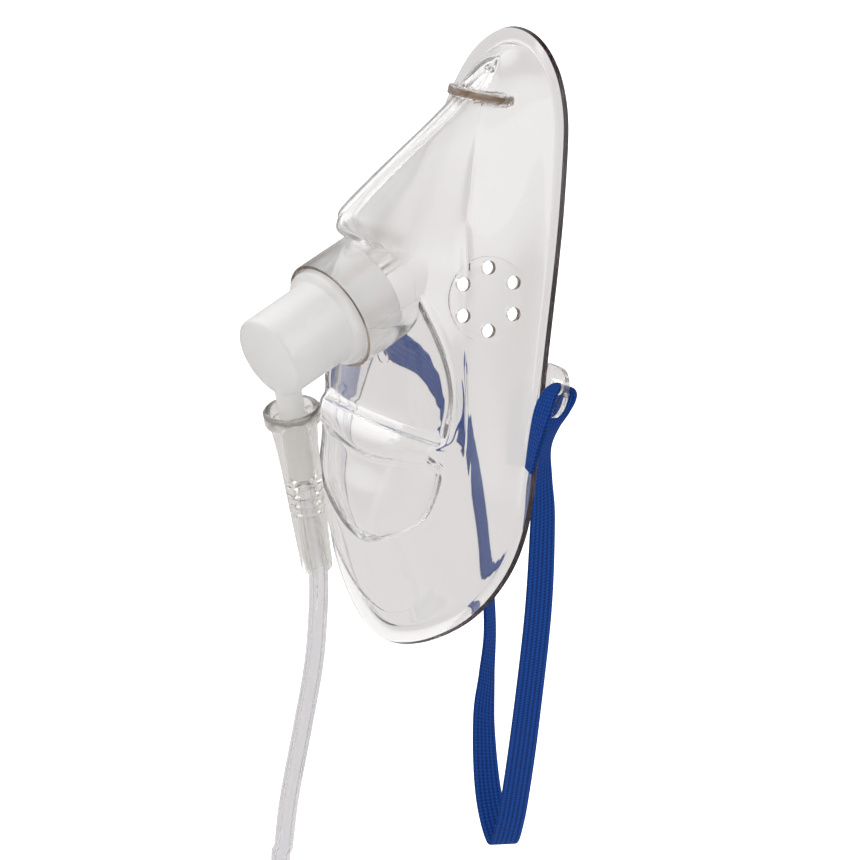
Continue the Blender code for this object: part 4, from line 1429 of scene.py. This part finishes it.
    def moulded(self, finishes: Sequence[Material]) -> Object:
        """Make the wall of the mask from its cage.

        Args:
            finishes: The shell's materials, in the order of ShellFace.

        Returns:
            The wall.
        """
        bm = bmesh.new()
        grid = []
        for line in self.cage_lines():
            grid.append([bm.verts.new(Vector((p[0], -p[2], p[1])) * MM) for p in line])
        for outer, inner in zip(grid, grid[1:]):
            for k in range(len(self.rows) - 1):
                bm.faces.new((outer[k], outer[k + 1], inner[k + 1], inner[k]))
        bmesh.ops.remove_doubles(bm, verts=bm.verts[:], dist=self.merge_reach)
        for vert in bm.verts:
            if abs(vert.co.x) < self.middle_reach:
                vert.co.x = 0.0
        copied = bmesh.ops.duplicate(bm, geom=bm.verts[:] + bm.edges[:] + bm.faces[:])["geom"]
        for vert in (item for item in copied if isinstance(item, bmesh.types.BMVert)):
            vert.co.x = -vert.co.x
        bmesh.ops.reverse_faces(bm, faces=[item for item in copied if isinstance(item, bmesh.types.BMFace)])
        bmesh.ops.remove_doubles(bm, verts=bm.verts[:], dist=self.mirror_reach)
        shell = mesh_object("clear_shell", bm, Shading.SOFT)
        for finish in finishes:
            shell.data.materials.append(finish)
        smooth = shell.modifiers.new("smooth", "SUBSURF")
        smooth.levels = self.cage_steps
        smooth.render_levels = self.cage_steps
        wall = shell.modifiers.new("wall", "SOLIDIFY")
        wall.thickness = self.wall
        wall.offset = -1.0
        wall.use_even_offset = False
        # The rim faces get the material that is painted dark as a line of shade.
        wall.material_offset_rim = ShellFace.RIM.value
        bake_modifiers(shell)
        return shell

    def surface_of(self, shell: Object) -> BVHTree:
        """Read the shell's faces into a tree.

        Args:
            shell: The moulded wall.

        Returns:
            The tree, to measure from.
        """
        bm = bmesh.new()
        bm.from_mesh(shell.data)
        surface = BVHTree.FromBMesh(bm)
        bm.free()
        return surface

    def neck(self, surface: BVHTree) -> tuple[Object, Object]:
        """Make the collar and the cutter that opens the platform under it.

        Args:
            surface: The moulded wall that the collar's root follows.

        Returns:
            The collar and the cutter.
        """
        base, axis = self.fittings.neck()
        outer = self.fittings.neck_radius
        inner = outer - self.fittings.neck_wall
        rim = self.fittings.neck_length
        side = Vector((1.0, 0.0, 0.0))
        upward = side.cross(axis)
        segments = self.neck_segments
        lip = self.neck_lip
        bm = bmesh.new()
        rings = []
        profile = [(None, inner + 0.02 * MM), (rim - lip, inner), (rim - lip * 0.3, inner + lip * 0.3)]
        profile += [(rim, inner + lip), (rim, outer - lip), (rim - lip * 0.3, outer - lip * 0.3)]
        profile += [(rim - lip, outer), (None, outer)]
        for along, radius in profile:
            ring = []
            for k in range(segments):
                angle = tau * k / segments
                spoke = side * cos(angle) + upward * sin(angle)
                start = base + spoke * outer + axis * (rim * self.neck_probe_at)
                hit, _, _, distance = surface.ray_cast(start, -axis, self.neck_probe)
                root = rim * self.neck_probe_at - distance - self.neck_root if hit else -6 * MM
                reach = min(root, rim - 1.0 * MM) if along is None else along
                ring.append(bm.verts.new(base + spoke * radius + axis * reach))
            rings.append(ring)
        for place, (lower, upper) in enumerate(zip(rings, rings[1:] + rings[:1])):
            for face in bridge(bm, lower, upper):
                face.material_index = ShellFace.EDGE.value if place in self.rim_faces else ShellFace.CLEAR.value
        collar = mesh_object("collar", bm, Shading.MOULDED)
        low, past = self.neck_cut
        cutter = turned("collar_cut", [(low, inner), (rim + past, inner)], base, axis, segments)
        return collar, cutter

    def vents(self, surface: BVHTree, edge: Material) -> tuple[list[Object], list[Object]]:
        """Make each cheek's disc and the ring of cutters for its holes.

        Args:
            surface: The moulded wall that the discs sit on.
            edge: The material of the holes' walls, painted tan as a line of shade.

        Returns:
            The discs and the cutters.
        """
        discs, cutters = [], []
        x, h, d = self.vent_centre_mm
        for hand in (1.0, -1.0):
            centre, normal, _, _ = surface.find_nearest(Vector((hand * x, -d, h)) * MM)
            if normal.x * hand < 0:
                normal = -normal
            up = (Vector((0.0, 0.0, 1.0)) - normal * normal.z).normalized()
            r, lift = self.vent_radius, self.vent_raise
            disc = [(-self.wall * 0.5, r), (lift * 0.6, r), (lift, r - 0.12 * MM), (lift + 0.08 * MM, r - 0.4 * MM)]
            discs.append(turned("vent_disc", disc, centre, normal, self.vent_segments))
            first = Matrix.Rotation(-self.vent_turn * hand, 3, normal) @ up
            cutters.append(self.hole_ring(centre, normal, first, edge))
        return discs, cutters

    def mark(self, surface: BVHTree) -> Object:
        """Make the small raised ring on the platform.

        Args:
            surface: The moulded wall that it sits on.

        Returns:
            The ring.
        """
        x, h, d = self.mark_at
        centre, normal, _, _ = surface.find_nearest(Vector((x, -d, h)) * MM)
        outward = normal if normal.y < 0 else -normal
        r, line = self.mark_radius, self.mark_line
        ring = [(-line, r - line), (0.12 * MM, r - line), (0.2 * MM, r - line / 2), (0.12 * MM, r), (-line, r)]
        return turned("mark", ring, centre, outward, 40, ring=True)

    def hole_ring(self, centre: Vector, normal: Vector, up: Vector, edge: Material) -> Object:
        """Make one vent's cutters: cylinders on a ring, set out by Geometry Nodes.

        Args:
            centre: The vent's middle.
            normal: The way the holes go.
            up: The way to the first hole.
            edge: The material of the holes' walls, painted tan as a line of shade.

        Returns:
            The cutters as one mesh.
        """
        wanted = (
            ("Holes", "NodeSocketInt", self.vent_holes), ("Ring Radius", "NodeSocketFloat", self.vent_ring),
            ("Hole Radius", "NodeSocketFloat", self.vent_hole_radius),
            ("Depth", "NodeSocketFloat", self.vent_hole_depth), ("Finish", "NodeSocketMaterial", edge),
        )
        tree, given, values = start_form("vent_hole_ring", wanted)
        spots = add_node(
            tree, "GeometryNodeMeshCircle",
            inputs={"Vertices": given.outputs["Holes"], "Radius": given.outputs["Ring Radius"]},
        )
        drill = add_node(
            tree, "GeometryNodeMeshCylinder",
            inputs={
                "Vertices": self.vent_hole_segments, "Radius": given.outputs["Hole Radius"],
                "Depth": given.outputs["Depth"],
            },
        )
        placed = add_node(
            tree, "GeometryNodeInstanceOnPoints",
            inputs={"Points": spots.outputs["Mesh"], "Instance": drill.outputs["Mesh"]},
        )
        holes = end_form("vent_holes", tree, placed.outputs["Instances"], values)
        across = up.cross(normal)
        turn = Matrix((up, -across, normal)).transposed().to_4x4()
        holes.data.transform(Matrix.Translation(centre) @ turn)
        return holes

    def lugs(self) -> tuple[list[Object], list[Object]]:
        """Make the strap lugs and the cutters for their holes.

        Returns:
            The lugs and the cutters.
        """
        middle_h = (self.lug_span[0] + self.lug_span[1]) / 2
        half = (self.lug_span[0] - self.lug_span[1]) / 2 * MM
        edge = at_height(smooth_curve(self.flange_edge), middle_h)[0] * MM
        plates, cutters = [], []
        for hand in (1.0, -1.0):
            outline = [Vector((-self.lug_root, 0.0, half)), Vector((-self.lug_root, 0.0, -half))]
            for k in range(self.lug_steps + 1):
                angle = -pi / 2 + pi * k / self.lug_steps
                reach = self.lug_reach * max(cos(angle), 0.0) ** self.lug_square
                outline.append(Vector((reach, 0.0, half * sin(angle))))
            outline = [Vector((p.x * hand, p.y, p.z)) for p in outline]
            middle = Vector((edge * hand, self.lug_back, middle_h * MM))
            plates.append(slab("lug", outline, Vector((0.0, 1.0, 0.0)), self.lug_thickness, middle))
            x, h = self.lug_hole_at
            r = self.lug_hole_radius
            start = Vector((hand * x, -8.0, h)) * MM
            cutters.append(turned("lug_hole", [(0.0, r), (16 * MM, r)], start, Vector((0.0, 1.0, 0.0)), 40))
        return plates, cutters

    def rib(self) -> Object:
        """Make the thin rib across the nose ridge.

        Returns:
            The rib, open underneath where the ridge passes through it.
        """
        h = self.rib_height
        crease = at_height(smooth_curve(self.cheek_crease), h)
        ridge = at_height(smooth_curve([(0.0, a, b) for a, b in self.middle_line]), h)[2] * MM + self.rib_stand
        side = crease[0] * MM + self.rib_feet
        back = crease[2] * MM - self.rib_back
        outline, inside = [], []
        for k in range(self.rib_steps + 1):
            angle = pi * k / self.rib_steps
            bulge = sin(angle) ** self.rib_arch
            outline.append(Vector((side * cos(angle), -(back + (ridge - back) * bulge), 0.0)))
            top = ridge - self.rib_stand - self.wall * 0.5
            wide = side - self.rib_width
            inside.append(Vector((wide * cos(angle), -(back + (top - back) * bulge), 0.0)))
        middle = Vector((0.0, 0.0, h * MM))
        made = slab("rib", outline + inside[::-1], Vector((0.0, 0.0, 1.0)), self.rib_thickness, middle)
        soften = made.modifiers.new("soften", "BEVEL")
        soften.width = self.rib_edge
        soften.segments = 2
        soften.limit_method = "ANGLE"
        bake_modifiers(made)
        for face in made.data.polygons:
            upright = abs(face.normal.z) < self.rib_upright
            face.material_index = ShellFace.EDGE.value if upright else ShellFace.CLEAR.value
        return made

    def build(self, finishes: Sequence[Material]) -> None:
        """Mould the shell, open it and join its collar, discs, lugs and rib.

        Args:
            finishes: The shell's materials, in the order of ShellFace.
        """
        shell = self.moulded(finishes)
        surface = self.surface_of(shell)
        collar, collar_cut = self.neck(surface)
        discs, hole_cutters = self.vents(surface, finishes[ShellFace.EDGE.value])
        plates, lug_cutters = self.lugs()
        holes = [face_all(cutter, ShellFace.EDGE) for cutter in hole_cutters]
        combine(shell, join_objects("opened", [collar_cut], finishes), Operation.DIFFERENCE)
        added = [collar, *discs, *plates, self.rib(), self.mark(surface)]
        combine(shell, join_objects("added", added, finishes), Operation.UNION)
        combine(shell, join_objects("cutters", [*holes, *lug_cutters], finishes), Operation.DIFFERENCE)
        lean(shell)
        shade(shell, Shading.MOULDED)
        stand_for(shell, "mask_shell", "mask_shell")


@dataclass
class Adaptor:
    """The frosted inlet: a plug in the collar, a shoulder, a capped body and a spigot."""

    fittings: Fittings
    plug_depth: float = 11.0 * MM
    shoulder: float = 1.6 * MM
    body_radius: float = 9.55 * MM
    body_length: float = 18.3 * MM
    body_wall: float = 1.1 * MM
    plug_wall: float = 1.3 * MM
    plug_taper: float = 0.25 * MM
    # Rounded corners: a share of the shoulder and the way in from the plug, then mm along the axis and in or out.
    shoulder_round: tuple[Step, ...] = ((0.55, 0.0), (0.8, 0.15), (0.95, 0.5))
    foot_round: tuple[Step, ...] = ((0.1, 0.75), (0.45, 0.25), (1.1, 0.0))
    cap_round: tuple[Step, ...] = ((0.9, 0.1), (0.45, 0.22), (0.15, 0.5), (0.0, 0.95))
    cap_crown: float = 0.05 * MM
    crown_share: float = 0.4
    # How much wider than its own radius the spigot is at its start, outside the body, before its end and at it.
    spigot_root: float = 1.4 * MM
    spigot_chamfer: float = 0.4 * MM
    spigot_taper: tuple[float, ...] = (0.3, 0.1, -0.15, -0.5)
    # The hollow: where it narrows behind the plug, its rounded end, and how far its cutters go past open ends.
    room_step: tuple[float, float] = (1.2 * MM, 0.6 * MM)
    room_end: tuple[Step, ...] = ((2.2, 0.0), (1.5, 0.3), (1.2, 1.0))
    bore_from: float = 3.0 * MM
    cut_past: float = 2.0 * MM

    def build(self, finish: Material) -> None:
        """Make the adaptor.

        Args:
            finish: Its material.
        """
        fit = self.fittings
        rim, axis = fit.rim(), fit.neck()[1]
        crossing, down = fit.spigot()
        plug = fit.neck_radius - fit.neck_wall - GAP
        body, length, step = self.body_radius, self.body_length, self.shoulder
        outside = [(-self.plug_depth, plug - self.plug_taper), (0.0, plug)]
        outside += [(step * share, plug - into * MM) for share, into in self.shoulder_round]
        outside += [(step + past * MM, body + out * MM) for past, out in self.foot_round]
        outside += [(length - short * MM, body - into * MM) for short, into in self.cap_round]
        outside += [(length + self.cap_crown, body * self.crown_share)]
        adaptor = turned("frosted_adaptor", outside, rim, axis, 112)
        stations = (0.0, body + self.spigot_root, fit.spigot_reach - self.spigot_chamfer, fit.spigot_reach)
        spigot = [(at, fit.spigot_radius + out * MM) for at, out in zip(stations, self.spigot_taper)]
        combine(adaptor, turned("spigot", spigot, crossing, down, 64), Operation.UNION)
        hollow = body - self.body_wall
        wide = plug - self.plug_wall
        before, past = self.room_step
        room = [(-self.plug_depth - self.cut_past, wide), (step - before, wide), (step + past, hollow)]
        room += [(length - short * MM, hollow - into * MM) for short, into in self.room_end]
        combine(adaptor, turned("room", room, rim, axis, 96), Operation.DIFFERENCE)
        bore = [(self.bore_from, fit.spigot_bore), (fit.spigot_reach + self.cut_past, fit.spigot_bore)]
        combine(adaptor, turned("bore", bore, crossing, down, 40), Operation.DIFFERENCE)
        lean(adaptor)
        shade(adaptor, Shading.CRISP)
        dress(adaptor, finish)
        stand_for(adaptor, "inlet_adaptor", "inlet_adaptor")


@dataclass
class Cuff:
    """A soft cuff with a flared lip, open through its whole length."""

    fittings: Fittings
    lip_radius: float = 6.3 * MM
    lip_height: float = 3.6 * MM
    waist_radius: float = 4.35 * MM
    waist_at: float = 15.5 * MM
    flare_share: float = 0.6
    flare_out: float = 0.35 * MM
    end_radius: float = 3.5 * MM
    # Rounded corners, in mm along the axis and in from the radius that they start at.
    lip_top: tuple[Step, ...] = ((0.08, 0.55), (0.25, 0.25), (0.6, 0.0))
    lip_foot: tuple[Step, ...] = ((0.5, 0.0), (0.1, 0.2), (0.0, 0.8), (-0.8, 1.1))
    end_round: tuple[Step, ...] = ((0.5, 0.0), (0.15, 0.12), (0.0, 0.35))
    mouth: tuple[Step, ...] = ((2.4, 2.4), (0.7, 1.3), (0.25, 0.95))
    mouth_ends: float = 6.0 * MM
    # The stop between the spigot's seat and the hose's: its bore, and where it starts, ends and meets the spigot.
    stop_radius: float = 1.9 * MM
    stop_steps: tuple[float, float, float] = (0.4 * MM, 1.4 * MM, 1.8 * MM)
    seat_chamfer: tuple[float, float] = (0.5 * MM, 0.25 * MM)
    # The grooves round the hose's seat, and the form of one: mm along the axis and share of its depth.
    grooves: int = 3
    groove_from: float = 0.4 * MM
    groove_pitch: float = 2.3 * MM
    groove_depth: float = 0.35 * MM
    groove_form: tuple[Step, ...] = ((0.0, 0.0), (0.3, 1.0), (0.8, 1.0), (1.1, 0.0))

    def profile(self) -> list[Step]:
        """Lay out the closed profile: down the outside with its flared lip, and up the bore with its grooves.

        Returns:
            Pairs of distance below the top and radius.
        """
        fit = self.fittings
        lip, high = self.lip_radius, self.lip_height
        inside = fit.spigot_radius + GAP
        seat = fit.tube_radius + GAP
        end, at = fit.cuff_length, fit.cuff_seat_at
        outside = [(along * MM, lip - into * MM) for along, into in self.lip_top]
        outside += [(high - short * MM, lip - into * MM) for short, into in self.lip_foot]
        tip = [(end - short * MM, self.end_radius - into * MM) for short, into in self.end_round]
        flare = (self.waist_at * self.flare_share, self.waist_radius + self.flare_out)
        knots = [outside[-1], flare, (self.waist_at, self.waist_radius), tip[0]]
        outside += [(p.x, p.y) for p in smooth_curve([(*knot, 0.0) for knot in knots], 6)[1:]] + tip[1:]
        back, out = self.seat_chamfer
        hollow = [(end, seat + out), (end - back, seat)]
        for k in range(self.grooves):
            low = at + (self.groove_from + self.groove_pitch * (self.grooves - k))
            hollow += [(low - up * MM, seat + self.groove_depth * share) for up, share in self.groove_form]
        starts, ends, meets = self.stop_steps
        hollow += [(at, seat), (at - starts, self.stop_radius), (at - ends, self.stop_radius), (at - meets, inside)]
        hollow += [(self.mouth_ends, inside)] + [(along * MM, lip - into * MM) for along, into in self.mouth]
        return outside + hollow

    def build(self, name: str, slot: str, start: Vector, axis: Vector, finish: Material) -> Object:
        """Make one cuff.

        Args:
            name: The piece's name.
            slot: The CAD node and material slot that it stands for.
            start: The middle of its lip, in the part's frame.
            axis: The way from the lip to its end.
            finish: Its material.

        Returns:
            The cuff.
        """
        made = turned(name, self.profile(), start, axis, 80, ring=True)
        dress(made, finish)
        stand_for(made, slot, slot)
        return made


@dataclass
class CoilTie:
    """The band that holds the coil."""

    hose: Hose
    thickness: float = 0.9 * MM
    width: float = 5.0 * MM

    def build(self, finish: Material) -> Object:
        """Make the band.

        Args:
            finish: Its material.

        Returns:
            The band.
        """
        angle = self.hose.tie_at
        out = self.hose.spoke(angle)
        along = self.hose.spoke(angle + 90)
        inner = self.hose.coil_section + GAP
        outer = inner + self.thickness
        half, edge = self.width / 2, 0.2 * MM
        band = [(-half, inner), (half, inner), (half, outer - edge), (half - edge, outer)]
        band += [(edge - half, outer), (-half, outer - edge)]
        made = turned("coil_tie", band, self.hose.centre() + out * self.hose.coil_radius, along, 64, ring=True)
        dress(made, finish)
        stand_for(made, "tube_tie", "tube_tie")
        return made


@dataclass
class HeadStrap:
    """Elastic webbing threaded through both lugs, with its loop hanging behind the mask."""

    thickness: float = 0.9 * MM
    full_width: float = 7.0
    steps: int = 16
    # Sections as (x, y, z, width, turn of the width from +X in degrees), in mm.
    tail: tuple[tuple[float, float, float, float, float], ...] = (
        (32.0, -7.2, -21.5, 6.2, -32.0), (32.0, -6.3, -15.0, 6.4, -24.0), (32.0, -4.9, -8.6, 6.0, -12.0),
        (31.8, -3.0, -4.6, 4.0, 0.0), (31.4, -0.8, -3.35, 3.0, 0.0), (31.6, 1.3, -3.4, 3.4, 6.0),
        (31.4, 2.8, -5.2, 4.6, 36.0),
    )
    loop: tuple[tuple[float, float, float, float, float], ...] = (
        (29.6, 3.0, -9.6, 5.4, 72.0), (28.0, 2.6, -14.4, 6.2, 104.0), (27.0, 1.9, -19.8, 6.4, 110.0),
        (27.0, 2.2, -27.0, 6.9, 98.0), (27.0, 3.6, -37.0, 7.0, 86.0), (24.4, 7.6, -60.0, 7.0, 77.0),
        (17.4, 14.2, -90.0, 7.0, 72.0), (9.4, 21.4, -112.0, 7.0, 68.0),
        (5.0, 24.8, -124.0, 7.0, 65.0), (0.6, 27.4, -131.0, 7.0, 64.0), (-4.6, 28.4, -126.0, 7.0, 68.0),
        (-9.6, 30.0, -117.6, 7.0, 80.0), (-15.4, 33.2, -106.0, 7.0, 94.0), (-20.0, 37.4, -97.0, 7.0, 108.0),
        (-24.0, 40.6, -84.0, 7.0, 117.0), (-28.6, 39.6, -61.0, 7.0, 118.0), (-32.0, 34.0, -38.0, 7.0, 112.0),
        (-33.6, 22.0, -20.5, 7.0, 106.0), (-33.0, 9.5, -12.5, 6.8, 104.0),
    )
    # Corners of the section: share of the width and of the thickness.
    section: tuple[Step, ...] = (
        (-0.5, -0.18), (-0.47, -0.42), (-0.4, -0.5), (0.4, -0.5), (0.47, -0.42), (0.5, -0.18),
        (0.5, 0.18), (0.47, 0.42), (0.4, 0.5), (-0.4, 0.5), (-0.47, 0.42), (-0.5, 0.18),
    )

    def sections(self) -> list[tuple[Vector, float, float]]:
        """Read the strap's sections from smooth curves.

        Returns:
            The place, width and turn of each section.
        """
        far = [(-x, y, z, width, 180.0 - turn) for x, y, z, width, turn in self.tail[::-1]]
        rows = list(self.tail) + list(self.loop) + far
        places = smooth_curve([row[:3] for row in rows], self.steps)
        shapes = smooth_curve([(row[3], row[4], 0.0) for row in rows], self.steps)
        return [(place * MM, shape[0] * MM, radians(shape[1])) for place, shape in zip(places, shapes)]

    def build(self, finish: Material) -> tuple[Object, list[Vector]]:
        """Make the strap with a UV map in millimetres.

        Args:
            finish: Its material.

        Returns:
            The strap and the points that it follows.
        """
        rows = self.sections()
        bm = bmesh.new()
        layer = bm.loops.layers.uv.new("webbing")
        rings, marks, travelled = [], [], 0.0
        for k, (place, width, turn) in enumerate(rows):
            before, after = rows[max(k - 1, 0)][0], rows[min(k + 1, len(rows) - 1)][0]
            travelled += (place - before).length
            along = (after - before).normalized()
            across = Vector((cos(turn), sin(turn), 0.0))
            across = (across - along * across.dot(along)).normalized()
            face = along.cross(across)
            rings.append(
                [bm.verts.new(place + across * width * a + face * self.thickness * b) for a, b in self.section]
            )
            marks.append(travelled / MM)
        for k in range(len(rings) - 1):
            for j, face in enumerate(bridge(bm, rings[k], rings[k + 1])):
                n = (j + 1) % len(self.section)
                for loop, (a, b) in zip(face.loops, ((j, k), (n, k), (n, k + 1), (j, k + 1))):
                    loop[layer].uv = ((self.section[a][0] + 0.5) * self.full_width, marks[b])
        bm.faces.new(rings[0][::-1])
        bm.faces.new(rings[-1])
        strap = mesh_object("blue_strap", bm, Shading.SOFT)
        dress(strap, finish)
        stand_for(strap, "head_strap", "head_strap")
        return strap, [place for place, _, _ in rows]


def build_all() -> None:
    """Make the camera, the soft pieces, the moulded pieces and the studio."""
    ViewCamera().build()
    fittings = Fittings()
    hose = Hose(fittings)
    cuff = Cuff(fittings)
    # A polished mould leaves the wall clear and sharp in its highlights; only the nose is blasted and misty.
    clear = MouldedPlastic("clear_soft_pvc_polished_mould").material()
    # The cuffs are thick, so light inside them turns warm and grey.
    soft = ClearPlastic("clear_soft_pvc_cuff", tint="#fafaf8", deep="#8f8672", density=22.0, roughness=0.05).material()
    # A die leaves the hose smooth, with long highlights, and a touch cooler than the mask.
    tube = ClearPlastic("clear_extruded_pvc_hose", tint="#fbfbfd", deep="#a0a0a8", density=12.0).material()
    # The trimmed rim and the cut edges are the same clear plastic as the wall: their dark and tan colours are painted
    # shade, which stands in for the dark lines that light bent inside the wall draws along them.
    rim = ClearPlastic("clear_soft_pvc_trimmed_rim", tint="#35272e", clear=0.92, roughness=0.08).material()
    # The tan colour is painted shade along the collar's end face, the rib's cut edges and the vent holes' walls.
    edge = ClearPlastic("clear_soft_pvc_cut_edge", tint="#a08a74", clear=0.85, roughness=0.08).material()
    # Natural polyethylene is milky: it lets light through without a clear view.
    frosted = FrostedPlastic("frosted_polyethylene_moulded").material()
    # Woven over rubber cores, the strap is matt and ribbed along its length.
    webbing = WovenElastic("woven_elastic_polyester").material()
    plain = PlainPlastic("white_polyethylene_band").material()
    tubing, hose_path = hose.build(tube)
    tie = CoilTie(hose).build(plain)
    lip = fittings.below_spigot(fittings.cuff_top)
    down = (fittings.below_spigot(1.0) - fittings.below_spigot(0.0)).normalized()
    cuff.build("mask_end_cuff", "hose_cuff", lip, down, soft)
    end = hose_path[-1]
    mouth = Vector((end.x, end.y, hose.tail_top() - hose.tail_shown - fittings.cuff_length))
    supply = cuff.build("supply_end_cuff", "supply_cuff", mouth, Vector((0.0, 0.0, 1.0)), soft)
    leaves = fittings.below_spigot(fittings.cuff_top + fittings.cuff_length)
    strap_form = HeadStrap()
    strap, strap_path = strap_form.build(webbing)
    # The strap leaves the mask at the fourth section after its first, which lies in the lug's hole.
    Shell(fittings).build([clear, rim, edge])
    Adaptor(fittings).build(frosted)
    Studio().build()


def main() -> None:
    """Build the scene."""
    logging.basicConfig(level=logging.INFO, format="%(name)s: %(message)s")
    bpy.context.scene.view_settings.view_transform = "Standard"
    # Light is passed on many times between the walls of clear plastic before it leaves them.
    cycles = bpy.context.scene.cycles
    cycles.max_bounces = 32
    cycles.transmission_bounces = 32
    cycles.glossy_bounces = 24
    cycles.diffuse_bounces = 8
    cycles.blur_glossy = 0.0
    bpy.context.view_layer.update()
    build_all()


if __name__ == "__main__":
    main()
